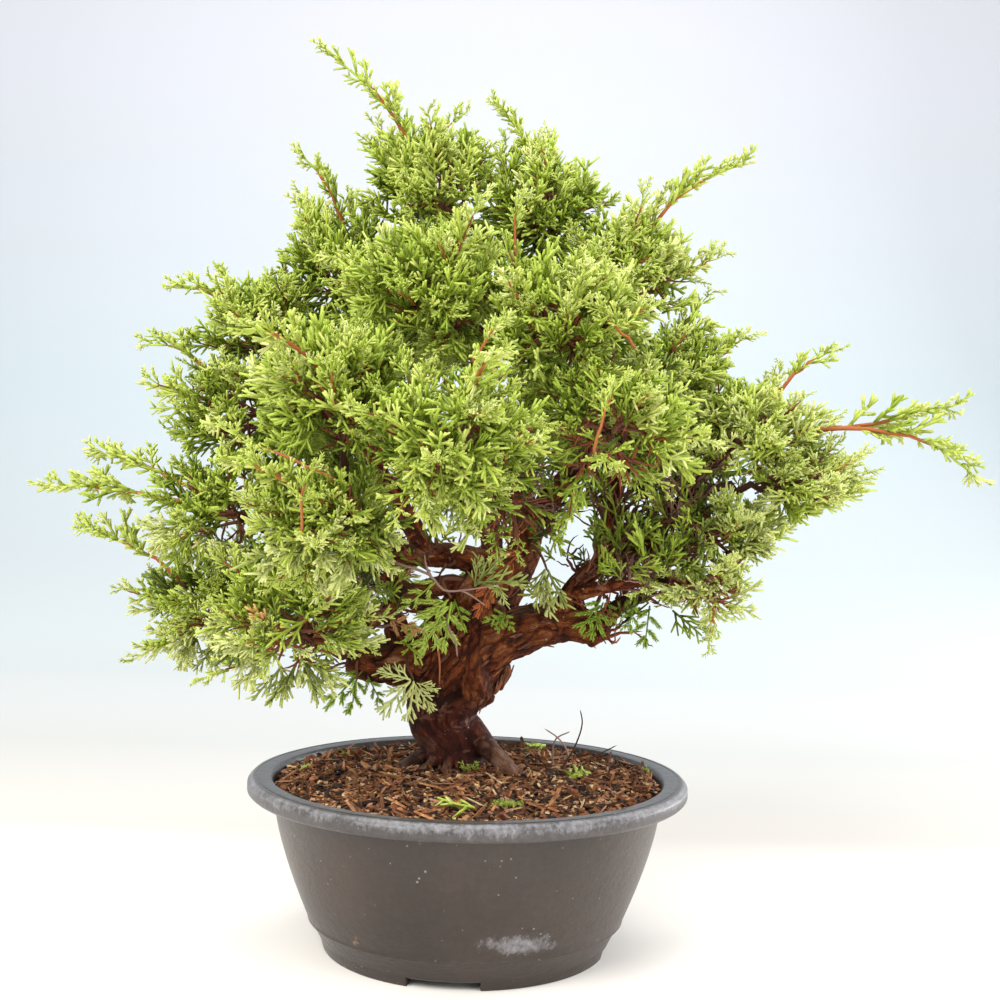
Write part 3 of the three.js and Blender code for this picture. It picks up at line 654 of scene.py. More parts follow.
def pot_finish():
    """Satin dark plastic with a fine leathery grain, a pale scuffed bloom on the rim and one low patch, pale
    specks, and a little dried dirt."""
    finish = Finish("pot_plastic", "3c322d", 0.5)
    places = finish.places()
    height = finish.along(places, "Z")
    cloud = finish.noise(places, 26.0, 4.0)
    fine = finish.noise(places, 420.0, 3.0)
    body = finish.ramp(cloud * 0.7 + fine * 0.3, [(0.3, "251c18"), (0.5, "312620"), (0.72, "40332c")])
    rim = finish.ramp(cloud * 0.5 + fine * 0.5, [(0.3, "312d2e"), (0.52, "423d3d"), (0.75, "565150")])
    colour = finish.mix(finish.between(height, 0.0622, 0.0634), body, rim)
    wear = finish.attribute("wear", "Fac")
    scuffs = finish.noise(finish.stretched(places, (1.0, 1.0, 0.7)), 210.0, 7.0, 0.75)
    clouds = finish.noise(places, 55.0, 4.0, 0.6)
    speckle = finish.noise(finish.stretched(places, (1.0, 1.0, 0.6)), 620.0, 4.0, 0.7)
    bloom = finish.between(scuffs * 0.5 + speckle * 0.7 + clouds * 0.3 + wear * 0.42, 1.0, 1.34)
    colour = finish.mix(bloom * 0.6, colour, "a9a8ae")
    specks = finish.cells(places, 260.0) + finish.noise(places, 50.0) * 0.3
    colour = finish.mix((1 - finish.between(specks, 0.2, 0.24)) * 0.5, colour, "a3968a")
    dust = finish.attribute("dust", "Fac") + finish.noise(places, 300.0, 5.0, 0.7) * 0.8
    colour = finish.mix(finish.between(dust, 0.98, 1.12) * 0.75, colour, "b08d68")
    finish.set("Base Color", colour)
    finish.set("Roughness", 0.26 + cloud * 0.14 + bloom * 0.3)
    slant = {"Vector": places, "Rotation": (0, 0.7, 0), "Scale": (0.5, 1, 2)}
    leather = finish.noise(finish.node("ShaderNodeMapping", {}, slant), 190.0, 5.0, 0.7)
    finish.bump(leather + fine * 0.3, 0.7, 0.55)
    return finish.material


def earth_finish():
    """Dark moist earth between the grains."""
    finish = Finish("earth", "3b2618", 0.95)
    places = finish.places()
    clods = finish.noise(places, 260.0, 5.0, 0.7)
    stops = [(0.3, "0f0603"), (0.5, "24120a"), (0.66, "4a2e19"), (0.8, "704b2c")]
    finish.set("Base Color", finish.ramp(clods, stops))
    finish.bump(clods, 1.0, 1.2)
    return finish.material


def grain_finish(name, dark, light):
    """Bark bits or grit, mottled between a dark and a light colour."""
    finish = Finish(name, light, 0.92)
    places = finish.places()
    mottle = finish.noise(places, 330.0, 4.0, 0.65)
    finish.set("Base Color", finish.ramp(mottle, [(0.34, dark), (0.66, light)]))
    finish.bump(mottle, 0.6, 0.4)
    return finish.material


def plain_finish(name, colour, roughness=0.55):
    """One plain colour, for small shapes that are dealt their colours one by one."""
    return Finish(name, colour, roughness, Specular_IOR_Level=0.35).material


# The pot


def wall_radius(z):
    """The outer wall's radius: it swells fast above the shoulder and slowly under the rim."""
    share = (z - SHOULDER_HEIGHT) / (POT_HEIGHT - RIM_DEPTH - SHOULDER_HEIGHT)
    return SHOULDER_RADIUS + (NECK_RADIUS - SHOULDER_RADIUS) * (1 - (1 - share) ** BELLY)


def rounded(corners, radius, steps=3):
    """A profile with rounded corners: each is a short curve that starts and ends radius away from it, or
    less where a side is short."""
    corners = np.array(corners, float)
    before = corners[:-2] - corners[1:-1]
    after = corners[2:] - corners[1:-1]
    shorter = np.minimum(np.linalg.norm(before, axis=1), np.linalg.norm(after, axis=1))
    cut = np.minimum(radius, 0.45 * shorter)
    start = corners[1:-1] + unit(before) * cut[:, None]
    end = corners[1:-1] + unit(after) * cut[:, None]
    turns = bezier(start[:, None], corners[1:-1, None], end[:, None], np.linspace(0, 1, steps))
    return np.vstack([corners[:1], turns.reshape(-1, 2), corners[-1:]])


def refined(profile, longest):
    """A profile with points put in so that no stretch is longer than the given length."""
    out = []
    for a, b in zip(profile[:-1], profile[1:]):
        count = max(1, math.ceil(np.linalg.norm(b - a) / longest))
        out.extend(a + (b - a) * k / count for k in range(count))
    return np.array([*out, profile[-1]])


def lathe(profile, angles, lift=None):
    """A profile of radius and height turned about the pot's axis. Its ends lie on the axis, where poles
    close it. lift changes radius and height at each ring and column."""
    rings = profile[1:-1]
    radius = np.repeat(rings[:, :1], len(angles), 1)
    height = np.repeat(rings[:, 1:], len(angles), 1)
    if lift:
        radius, height = lift(radius, height, np.repeat(angles[None], len(rings), 0))
    around = np.stack([radius * np.cos(angles), radius * np.sin(angles), height], 2).reshape(-1, 3)
    poles = np.array([[0, 0, profile[0, 1]], [0, 0, profile[-1, 1]]])
    return np.vstack([around, poles]), list(tube_faces(len(rings), len(angles)))


def pot_mesh():
    """The pot: a foot ring with four notches, a step under the bellied wall, and a broad grooved rim."""
    neck = POT_HEIGHT - RIM_DEPTH
    floor = FOOT_RECESS + WALL
    levels = np.linspace(SHOULDER_HEIGHT + 1, neck, 14)
    outer = [(wall_radius(z), z) for z in levels]
    inner = [(wall_radius(z) - WALL, z) for z in levels[::-1]]
    groove = RIM_RADIUS - GROOVE_INSET
    groove_side = GROOVE_WIDTH / 2
    corners = [
        (0, FOOT_RECESS), (FOOT_RADIUS - FOOT_WIDTH, FOOT_RECESS), (FOOT_RADIUS - FOOT_WIDTH, 0),
        (FOOT_RADIUS, 0), (FOOT_RADIUS + 1.2, FOOT_RECESS), (BASE_RADIUS, BASE_HEIGHT),
        (SHOULDER_RADIUS - 0.9, SHOULDER_HEIGHT - 0.7), (SHOULDER_RADIUS + 0.5, SHOULDER_HEIGHT - 0.2),
        *outer,
        (RIM_RADIUS - 1.5, neck - 0.3), (RIM_RADIUS, neck + 1), (RIM_RADIUS, POT_HEIGHT - 2),
        (RIM_RADIUS - 1.8, POT_HEIGHT - 0.1), (groove + groove_side, POT_HEIGHT),
        (groove, POT_HEIGHT - GROOVE_DEPTH), (groove - groove_side, POT_HEIGHT),
        (LIP_RADIUS + 1.2, POT_HEIGHT - 0.3), (LIP_RADIUS, POT_HEIGHT - 2.2),
        (LIP_RADIUS - 0.6, neck), *inner, (FLOOR_RADIUS, floor), (0, floor),
    ]
    profile = refined(rounded(corners, 0.55), 4)
    edges = NOTCH_TURN + np.pi / 2 * np.arange(NOTCH_COUNT)[:, None] + NOTCH_ANGLE / 2 * np.array([-1, 1])
    sharp = (edges[:, :, None] + NOTCH_EDGE * np.array([-1, 1])).ravel()
    even = np.linspace(0, 2 * np.pi, POT_COLUMNS, False)
    angles = np.sort(np.concatenate([even, sharp % (2 * np.pi)]))

    def lift(radius, height, angle):
        """Raises the foot ring in its notches and lets the wall stray a little from a true circle."""
        turn = (angle - NOTCH_TURN + np.pi / NOTCH_COUNT) % (2 * np.pi / NOTCH_COUNT) - np.pi / NOTCH_COUNT
        notch = (abs(turn) < NOTCH_ANGLE / 2) & (radius < FOOT_RADIUS + 1.5)
        height = np.where(notch, np.maximum(height, NOTCH_HEIGHT), height)
        stray = 0.22 * np.cos(2 * angle + 0.6) + 0.12 * np.cos(5 * angle + height / 20)
        return radius + stray * smooth(20, 60, height) * (radius > LIP_RADIUS - 20), height

    points, faces = lathe(profile, angles, lift)
    return make_mesh("pot_shell", points, faces), points


# Places on the pot's front with specks of dried earth, each with its size.
DUST = [((-41, -52, 16), 9), ((-8, -64, 14), 5), ((-33, -57, 30), 7), ((30, -58, 13), 6), ((52, -38, 14), 6)]


def pot_wear(points):
    """Where the pot is scuffed pale: the upper half of the rim's outer band, a patch low on the front and
    the step beside it, and a little on the rim's top."""
    radius = np.hypot(points[:, 0], points[:, 1])
    band = smooth(86, 89, radius) * smooth(POT_HEIGHT - 6, POT_HEIGHT - 3.5, points[:, 2])
    patch_middle = np.array([22.0, -66.0, 20.5])
    patch = 1 - smooth(0.1, 1, np.linalg.norm((points - patch_middle) / np.array([30, 30, 7.5]), axis=1))
    step = smooth(5, 2, abs(points[:, 2] - SHOULDER_HEIGHT - 3)) * smooth(-30, -50, points[:, 1])
    step *= smooth(5, 30, points[:, 0])
    inner = smooth(LIP_RADIUS, 83, radius) * smooth(POT_HEIGHT - 1, POT_HEIGHT - 0.4, points[:, 2])
    return 0.75 * band + 1.0 * patch + 0.5 * step + 0.35 * inner + 0.16 * lattice_noise(points / 14, 3)


def pot_dust(points):
    """Where dried earth clings: the rim's lower edge, and a few places above the step."""
    radius = np.hypot(points[:, 0], points[:, 1])
    low = POT_HEIGHT - RIM_DEPTH
    lower_edge = (radius > RIM_RADIUS - 3) * smooth(low + 1.6, low + 0.2, points[:, 2])
    total = 0.36 * lower_edge
    for place, size in DUST:
        away = np.linalg.norm(points - np.array(place), axis=1) / size
        total = np.maximum(total, 0.62 * (1 - smooth(0.1, 1, away)))
    return total


# The soil


def soil_height(radius):
    """The mound: level round the trunk, then down to the pot's wall."""
    return GROUND - GAP - (GROUND - GAP - SOIL_EDGE) * smooth(MOUND_RADIUS - 20, LIP_RADIUS - 3, radius)


def soil_mesh():
    """The soil's body, with a crumbled top."""
    inside = WALL + GAP
    levels = np.linspace(POT_HEIGHT - RIM_DEPTH, SHOULDER_HEIGHT, 5)
    top = [(r, soil_height(r)) for r in np.linspace(0.8, LIP_RADIUS - 2.2, 70)]
    wall = [(wall_radius(z) - inside, z) for z in levels]
    floor = FOOT_RECESS + inside
    profile = np.array([(0, floor), (FLOOR_RADIUS - 0.6, floor), *wall[::-1], *top[::-1], (0, GROUND - GAP)])

    def crumble(radius, height, angle):
        """Raises and lowers the top by noise of grain size, and less near the wall."""
        places = np.stack([radius * np.cos(angle), radius * np.sin(angle), height], 2)
        rough = fractal(places / 5, 11) * 0.9 + lattice_noise(places / 15, 5) * 0.8
        share = smooth(POT_HEIGHT - RIM_DEPTH + 3, SOIL_EDGE, height)
        return radius, height + rough * share - 0.6 * share

    return make_mesh("soil_bed", *lathe(profile, np.linspace(0, 2 * np.pi, SOIL_COLUMNS, False), crumble))


def pebble_shape(rng):
    """A rough grain: a cube's corners and face middles pushed out to a sphere, then knocked about."""
    corners = np.array(list(np.ndindex(2, 2, 2))) * 2.0 - 1
    points = unit(corners) * rng.uniform(0.75, 1.15, (8, 1)) * rng.uniform(0.7, 1.1, 3)
    quads = np.array([[0, 1, 3, 2], [4, 6, 7, 5], [0, 4, 5, 1], [2, 3, 7, 6], [0, 2, 6, 4], [1, 5, 7, 3]])
    return points, [quads]


def chip_shape(rng):
    """A flat splinter of bark: a six-cornered slab with a torn outline."""
    turn = np.sort(rng.uniform(0, 2 * np.pi, 6)) * 0.3 + np.arange(6) * 2 * np.pi / 6 * 0.7
    outline = np.stack([np.cos(turn), 0.5 * np.sin(turn)], 1) * rng.uniform(0.7, 1.1, (6, 1))
    tilt = outline @ rng.normal(0, 0.2, 2)
    low = np.column_stack([outline, tilt - 0.16])
    high = np.column_stack([outline * 0.9, tilt + 0.16])
    here = np.arange(6)
    after = (here + 1) % 6
    walls = np.stack([here, after, 6 + after, 6 + here], 1)
    fans = np.array([[6, 6 + k, 7 + k] for k in range(1, 5)] + [[0, k + 1, k] for k in range(1, 5)])
    return np.vstack([low, high]), [walls, fans]


def sliver_shape(rng):
    """A thin splinter or dead needle, bent a little, with three sides."""
    x = np.array([-1, -0.85, 0, 0.85, 1])
    centres = np.stack([x, 0.12 * rng.normal() * x**2, 0.12 * rng.normal() * x], 1)
    return tube(centres, np.array([0, 0.1, 0.12, 0.08, 0]), 3)


# The soil's bits: the dark and the light colour of each.
SOIL_COLOURS = {
    "bark_dark": ("100603", "361b09"),
    "bark_brown": ("3a1d08", "7c4e26"),
    "bark_red": ("4a220d", "905836"),
    "pumice": ("94704a", "e2c494"),
    "clay": ("845a3c", "c49470"),
    "splinter": ("6c3c1e", "c08654"),
}


# Grains on the soil: their shape, how many, their smallest and largest size, and the share of each colour.
GRAINS = [
    (pebble_shape, 3600, (0.9, 1.9), [0.2, 0.25, 0.15, 0.16, 0.19, 0.05]),
    (chip_shape, 3400, (1.6, 3.4), [0.26, 0.3, 0.22, 0.04, 0.08, 0.1]),
    (sliver_shape, 1500, (2.4, 7.5), [0.1, 0.22, 0.22, 0.04, 0.1, 0.32]),
]

soil_piles = {name: Pile() for name in SOIL_COLOURS}


def strew(key, shape_of, count, sizes, weights):
    """Grains of one kind strewn evenly over the soil, on and half in it, each with a random turn and size."""
    rng = seeded(GRAIN_KEY, key)
    radius = (LIP_RADIUS - 1.8) * np.sqrt(rng.random(count))
    angle = rng.uniform(0, 2 * np.pi, count)
    size = rng.uniform(*sizes, count) * rng.choice([0.7, 1, 1.25], count, p=[0.45, 0.4, 0.15])
    lying = random_turns(count, rng) * np.array([1, 1, 0.55])[None, :, None]
    height = soil_height(radius) + rng.uniform(-0.5, 0.3, count) * size
    where = np.column_stack([radius * np.cos(angle), radius * np.sin(angle), height])
    colour = rng.choice(len(weights), count, p=weights)
    kind = rng.integers(0, GRAIN_SHAPES, count)
    for k in range(GRAIN_SHAPES):
        shape = shape_of(rng)
        for c, pile in enumerate(soil_piles.values()):
            chosen = (kind == k) & (colour == c)
            pile.add(copies(shape, where[chosen], lying[chosen] * size[chosen, None, None]))


# The trunk and boughs


def root_places(turn, reach, radius, rise):
    """A root: it leaves the trunk above the mound, and arches out and down into it."""
    x, y = LIMBS["trunk"][0][:2]
    way = np.array([math.cos(math.radians(turn)), math.sin(math.radians(turn))])
    steps = [(4, rise, 1), (reach * 0.55, rise * 0.4, 0.64), (reach, -2, 0.38)]
    return [(x + d * way[0], y + d * way[1], GROUND + up, radius * share) for d, up, share in steps]


# Swellings on the limbs: the sweep of wood from the trunk's waist into the right bough, a second one beside
# it, and a knob above. Then the hollow between them and the crease round the waist.
SWEEP = [
    (-16, 6, 95, 9), (-10, 2, 106, 12), (-2, -1, 116, 12.5), (9, -2, 124, 10.5), (24, -3, 130, 8.6),
    (38, -5, 133, 7.6),
]
SWIRL = [(9, -3, 130, 5), (2, -6.5, 122, 6.6), (1, -6.5, 112, 7.4), (2, -1, 102, 7)]
KNOB = [(-2, 2, 134, 5.4), (-2, -6, 134, 5.2), (-2, -12, 133, 4.6)]
HOLLOW = (-2, -8, 141)
HOLLOW_SIZE = 6.5
CREASE_HEIGHT = 101
CREASE_FROM = (-28, -18)

# The bark: how far apart the limbs' close places are, what keeps one limb's grain apart from the next one's,
# the length in which the grain turns by a radian, and the width and length of its slabs and fibres.
LIMB_STEP = 1.5
GRAIN_APART = 211
GRAIN_TURN = 90
SLAB = (6.4, 18)
FIBRE = (1.6, 22)
SKIN_SIDES = 24
SWELLING_SIDES = 20
VOXEL = 0.84
EASING = 7
FLAKES = 620


def limb_samples():
    """Close places along every limb and root: points, radii, tangents, sides and length along, for finding
    where on the limbs a point of the bark lies."""
    rows = []
    for places in [*LIMBS.values(), *(root_places(*root) for root in ROOTS), SWEEP, SWIRL]:
        length = np.linalg.norm(np.diff(np.array(places)[:, :3], axis=0), axis=1).sum()
        points, radii = curve(places, max(8, int(length / LIMB_STEP)))
        ways = unit(np.gradient(points, axis=0))
        so_far = np.concatenate([[0], np.cumsum(np.linalg.norm(np.diff(points, axis=0), axis=1))])
        side = unit(np.cross(ways, np.where(abs(ways[:, 1:2]) > 0.8, (1.0, 0.0, 0.0), (0.0, 1.0, 0.0))))
        rows.append(np.column_stack([points, radii, ways, side, so_far + GRAIN_APART * len(rows)]))
    return np.vstack(rows)


samples = limb_samples()
limb_points, limb_radii = samples[:, :3], samples[:, 3]


def gaps_to_limbs(points):
    """How far each point is from the wood at each close place of the limbs."""
    return np.linalg.norm(points[:, None] - limb_points[None], axis=2) - limb_radii[None]


def clear_of_limbs(points, clearance):
    """Whether each point keeps clear of every limb."""
    return gaps_to_limbs(points).min(1) > clearance


def grain_of(points):
    """A point's place in the wood, as if its limb were straight: across by two, and along."""
    nearest = np.concatenate([gaps_to_limbs(part).argmin(1) for part in np.array_split(points, 60)])
    near = samples[nearest]
    off = points - near[:, :3]
    way, side = near[:, 4:7], near[:, 7:10]
    u = np.sum(off * side, 1)
    v = np.sum(off * np.cross(way, side), 1)
    along = near[:, 10] + np.sum(off * way, 1)
    return np.column_stack([u, v, along]), near[:, 3]


def slabs(places, seed):
    """Cells round scattered points, one point in each box of a grid of unit cubes. It gives how much
    further a place is from the second nearest point than from the nearest, the cell's random number, and how
    far past the nearest point it lies along the last axis."""
    box = np.floor(places).astype(int)
    table = np.random.default_rng(seed).random((NOISE_CELLS, NOISE_CELLS, NOISE_CELLS, 4))
    found = []
    for corner in np.ndindex(3, 3, 3):
        there = box + np.array(corner) - 1
        own = table[tuple(np.moveaxis(there % NOISE_CELLS, -1, 0))]
        off = places - there - own[:, :3]
        found.append(np.column_stack([np.linalg.norm(off, axis=1), own[:, 3], off[:, 2]]))
    found = np.stack(found, 1)
    order = found[:, :, 0].argsort(1)
    nearest, second = (np.take_along_axis(found, order[:, k:k + 1, None], 1)[:, 0] for k in (0, 1))
    return second[:, 0] - nearest[:, 0], nearest[:, 1], nearest[:, 2]


def bark_relief(points, grain, radius):
    """The bark's height in millimetres: broad lumps, long slabs that lift at one end and overlap, cracks
    between them, and fibres. It grows with the limb's radius. Also a share from 0, in a crevice, to 1, on a
    lifted end, which darkens the bark's colour in crevices, the hollow and the crease as painted shade."""
    turn = grain[:, 2:] / GRAIN_TURN
    across = np.column_stack([
        grain[:, :1] * np.cos(turn) - grain[:, 1:2] * np.sin(turn),
        grain[:, :1] * np.sin(turn) + grain[:, 1:2] * np.cos(turn),
    ])
    warp = np.stack([lattice_noise(points / 9, seed) for seed in (31, 32, 33)], 1)
    slot = np.column_stack([across / SLAB[0], grain[:, 2] / SLAB[1]]) + warp * (0.6, 0.6, 0.4)
    edge, own, past = slabs(slot, 34)
    small_edge, small_own, small_past = slabs(slot * (2.1, 2.1, 1.7), 36)
    crack = 1 - smooth(0.02, 0.2, edge)
    fibres = fractal(np.column_stack([across / FIBRE[0], grain[:, 2] / FIBRE[1]]) + warp, 35, 2)
    lifted = 1.1 * (own - 0.5) + 0.65 * past + 0.3 * (small_own - 0.5) + 0.25 * small_past
    size = np.clip(radius / 13, 0.16, 1.0)
    foot = 1 - smooth(GROUND + 20, GROUND + 32, points[:, 2] + 5 * warp[:, 0])
    height = size * (1 - 0.75 * foot) * (1.25 * lifted - 0.75 * crack + 0.16 * fibres)
    height += size * 0.9 * lattice_noise(points / 12, 41)
    hollow = 1 - smooth(0.2, 1, np.linalg.norm(points - np.array(HOLLOW), axis=1) / HOLLOW_SIZE)
    crease = 1 - smooth(0.4, 3.2, abs(points[:, 2] - CREASE_HEIGHT - 3.5 * warp[:, 1]))
    crease *= smooth(*CREASE_FROM, points[:, 0]) * (radius > 9)
    # The share paints shade into the bark's colour: low in cracks, in the hollow and in the crease.
    share = 0.52 + 0.42 * lifted - 0.4 * crack + 0.1 * fibres - 0.7 * hollow - 0.5 * crease
    return height - 3.5 * hollow - 1.4 * crease, np.clip(share, 0, 1)


def bark_mesh():
    """Trunk, boughs and roots as one skin: tubes along the limbs, melted together and cut at the ground."""
    shapes = []
    for name, places in LIMBS.items():
        count = 60 if name == "trunk" else 30
        centres, radii = curve(places, count)
        radii = np.repeat(radii[:, None], SKIN_SIDES, 1)
        if name == "trunk":
            angle = -2 * np.pi * np.arange(SKIN_SIDES) / SKIN_SIDES
            twist = 4 * np.linspace(0, 1, count)[:, None]
            radii = radii * (1 + 0.05 * (np.cos(3 * angle + twist) + 0.6 * np.cos(5 * angle - twist)))
        swell = 1 + 0.07 * lattice_noise(centres / 9, 51)[:, None]
        shapes.append(tube(centres, radii * swell, SKIN_SIDES))
    for places in [*(root_places(*root) for root in ROOTS), SWEEP, SWIRL, KNOB]:
        centres, radii = curve(places, 20)
        shapes.append(tube(centres, radii, SWELLING_SIDES))
    rough = make_mesh("limbs", *joined(shapes))
    holder = bpy.data.objects.new("limbs", rough)
    bpy.context.scene.collection.objects.link(holder)
    melt = holder.modifiers.new("melt", "REMESH")
    melt.mode = "VOXEL"
    melt.voxel_size = VOXEL * MM
    ease = holder.modifiers.new("ease", "SMOOTH")
    ease.factor = 0.5
    ease.iterations = EASING
    skin = bpy.data.meshes.new_from_object(holder.evaluated_get(bpy.context.evaluated_depsgraph_get()))
    bpy.data.objects.remove(holder)
    return cut_at_ground(skin)


def cut_at_ground(skin):
    """The skin above the ground, closed by a flat face there."""
    shape = bmesh.new()
    shape.from_mesh(skin)
    everything = [*shape.verts, *shape.edges, *shape.faces]
    low = (0, 0, (GROUND - 1) * MM)
    cut = bmesh.ops.bisect_plane(shape, geom=everything, plane_co=low, plane_no=(0, 0, 1), clear_inner=True)
    edges = [edge for edge in cut["geom_cut"] if isinstance(edge, bmesh.types.BMEdge)]
    bmesh.ops.holes_fill(shape, edges=edges)
    bmesh.ops.triangulate(shape, faces=[face for face in shape.faces if len(face.verts) > 4])
    shape.to_mesh(skin)
    shape.free()
    return skin


def add_bark():
    """The bark piece, with its grain and its share of painted crevice shade kept at each vertex for its
    finish.
    It gives its points.
    """
    mesh = bark_mesh()
    points = read_vertices(mesh, "co").astype(float) / MM
    normals = read_vertices(mesh, "normal")
    grain, radius = grain_of(points)
    height, share = bark_relief(points, grain, radius)
    rise = height * smooth(GROUND - 0.9, GROUND + 3, points[:, 2])
    # Faces that point up, in patches: the finish turns them grey-brown.
    worn = smooth(0.35, 0.95, normals[:, 2]) * (0.6 + 0.8 * lattice_noise(points / 10, 44))
    points = points + normals * rise[:, None]
    mesh.vertices.foreach_set("co", np.asarray(points * MM, np.float32).ravel())
    off = np.hypot(*(points[:, :2] - LIMBS["trunk"][0][:2]).T)
    root = smooth(13, 20, off) * smooth(GROUND + 16, GROUND + 8, points[:, 2])
    for name, values in (("relief", share), ("worn", worn), ("root", root), ("grain", grain)):
        keep_values(mesh, name, values)
    mesh.shade_smooth()
    add_piece("trunk_and_boughs", mesh, bark_finish(), LIMBS)
    return points


# Sprays: short cords that fork like coral, made once as shapes and then copied


def prongs(bases, tips, radius):
    """Slim three-sided cords from bases to tips, a third thinner there, each end closed by one triangle."""
    way = unit(tips - bases)
    side = unit(np.cross(way, np.where(abs(way[:, 2:]) > 0.8, (1.0, 0.0, 0.0), (0.0, 0.0, 1.0))))
    other = np.cross(way, side)
    turn = 2 * np.pi * np.arange(3) / 3
    ring = radius * (np.cos(turn)[:, None] * side[:, None] + np.sin(turn)[:, None] * other[:, None])
    points = np.concatenate([bases[:, None] + ring, tips[:, None] + CORD_TAPER * ring], 1)
    walls = np.array([[0, 1, 4, 3], [1, 2, 5, 4], [2, 0, 3, 5]])
    return as_one((points, (walls, np.array([[0, 2, 1], [3, 4, 5]]))))


def spray_shape(key, length, cords, reach, spread, rough, radius=CORD, forks=2):
    """A spray along +X: a bent axis, and cords left and right of it that get shorter to its tip. The longer
    ones fork once, or every second one twice. The axis and its first cords are the inner part, which is
    dealt a darker colour. spread and rough are in degrees."""
    rng = seeded(SPRAY_KEY, key)
    bend, lift = rng.normal(0, 0.12), rng.normal(0, 0.1)

    def axis(t):
        return np.stack([length * t, bend * length * t**2, lift * length * t**2], -1)

    def way(angle, out, hand):
        return np.stack([np.cos(angle) * np.cos(out), hand * np.sin(angle) * np.cos(out), np.sin(out)], -1)

    t = 0.04 + 0.84 * (np.arange(cords) + rng.uniform(0.2, 0.8, cords)) / cords
    hand = np.where(np.arange(cords) % 2, 1, -1)
    angle = np.radians(spread * (1.15 - 0.45 * t) + rng.normal(0, rough * 0.5, cords))
    out = np.radians(rng.normal(0, rough * 1.2, cords))
    size = reach * (1.1 - 0.6 * t) * rng.uniform(0.8, 1.2, cords)
    bases = axis(t)
    ends = bases + size[:, None] * way(angle, out, hand)
    long = t < 0.76
    fork_at = rng.uniform(0.28, 0.5, cords)[:, None]
    fork_bases = (bases + fork_at * (ends - bases))[long]
    inner_ways = way(angle * 0.25, out + np.radians(rng.normal(0, rough, cords)), hand)[long]
    outer_ways = way(angle * 1.75, out - np.radians(rng.normal(0, rough, cords)), hand)[long]
    fork_size = (0.6 * size * rng.uniform(0.8, 1.15, cords))[long, None]
    forks_from = np.vstack([fork_bases, fork_bases[::2]][:forks])
    inner_ends = fork_bases + fork_size * inner_ways
    outer_ends = (fork_bases + 0.8 * fork_size * outer_ways)[::2]
    forks_to = np.vstack([inner_ends, outer_ends][:forks])
    stem = tube(axis(np.array([0, 0.04, 0.5, 0.97, 1])), np.array([0, 1.0, 1.0, 0.8, 0]) * radius, 3)
    first = t < 0.36
    return {
        "inner": [stem, prongs(bases[first], ends[first], radius)],
        "tips": [prongs(bases[~first], ends[~first], radius), prongs(forks_from, forks_to, radius)],
    }


def feather_shape(key, length=FEATHER_LENGTH, feathers=6, needle=3.0, radius=0.36):
    """A juvenile spray along +X: side shoots left and right in a flat fan and one at the end, each set with
    pointed needles on both sides that lean to its tip."""
    rng = seeded(FEATHER_KEY, key)
    t = np.append(np.linspace(0.1, 0.78, feathers - 1), 0.82)
    hand = np.where(np.arange(feathers) % 2, 1.0, -1.0)
    hand[-1] = 0
    angle = np.radians(rng.uniform(36, 50, feathers)) * hand
    roots = np.stack([length * t, 0 * t, rng.normal(0, 0.4, feathers)], 1)
    ways = unit(np.stack([np.cos(angle), np.sin(angle), rng.normal(0, 0.14, feathers)], 1))
    across = np.stack([-np.sin(angle), np.cos(angle), 0 * angle], 1)
    reach = 7.6 * (1.2 - 0.5 * t)[:, None, None] * rng.uniform(0.7, 1.15, (feathers, 1, 1))
    share = (np.arange(NEEDLES) + 0.5)[None, :, None] / NEEDLES
    side = np.tile([-1, 1], NEEDLES // 2)[None, :, None]
    bases = roots[:, None] + share * reach * ways[:, None]
    lean = np.radians(rng.uniform(18, 36, (feathers, NEEDLES, 1)))
    out = np.cos(lean) * ways[:, None] + np.sin(lean) * side * across[:, None]
    out = unit(out + rng.normal(0, 0.4, (feathers, NEEDLES, 1)) * UP) * needle * (1.1 - 0.4 * share)
    bases, out = bases.reshape(-1, 3), out.reshape(-1, 3)
    blades = np.stack([bases, bases + 0.4 * out, bases + out], 1)
    leaves = tubes(blades, np.tile([0, radius, 0], (len(out), 1)), 3)
    lines = np.stack([roots, roots + 0.5 * reach[:, 0] * ways, roots + reach[:, 0] * ways], 1)
    stems = tubes(lines, np.tile([0, 0.4, 0], (feathers, 1)), 3)
    x = np.array([0, 0.05, 0.5, 0.95, 1])
    main = tube(np.stack([0.85 * length * x, 0 * x, 0 * x], 1), np.array([0, 0.55, 0.5, 0.4, 0]), 3)
    return {"inner": [as_one(stems), main], "tips": [as_one(leaves)]}


# The kinds of sprays, each in several shapes. A shape's number is the key of its random numbers.
SHAPES = {
    "fan": [spray_shape(k, FAN_LENGTH, 7, 9.5, 39, 19) for k in range(12)],
    "knob": [spray_shape(20 + k, KNOB_LENGTH, 6, 6.6, 42, 22) for k in range(6)],
    "shoot": [spray_shape(30 + k, SHOOT_LENGTH, 6, 5.6, 40, 16, forks=1) for k in range(8)],
    "loose": [spray_shape(50 + k, LOOSE_LENGTH, 6, 8, 42, 22, LOOSE_CORD, 1) for k in range(8)],
    "hanging": [spray_shape(40 + k, HANGING_LENGTH, 8, 8.8, 38, 17) for k in range(6)],
    "feather": [feather_shape(k) for k in range(4)],
}

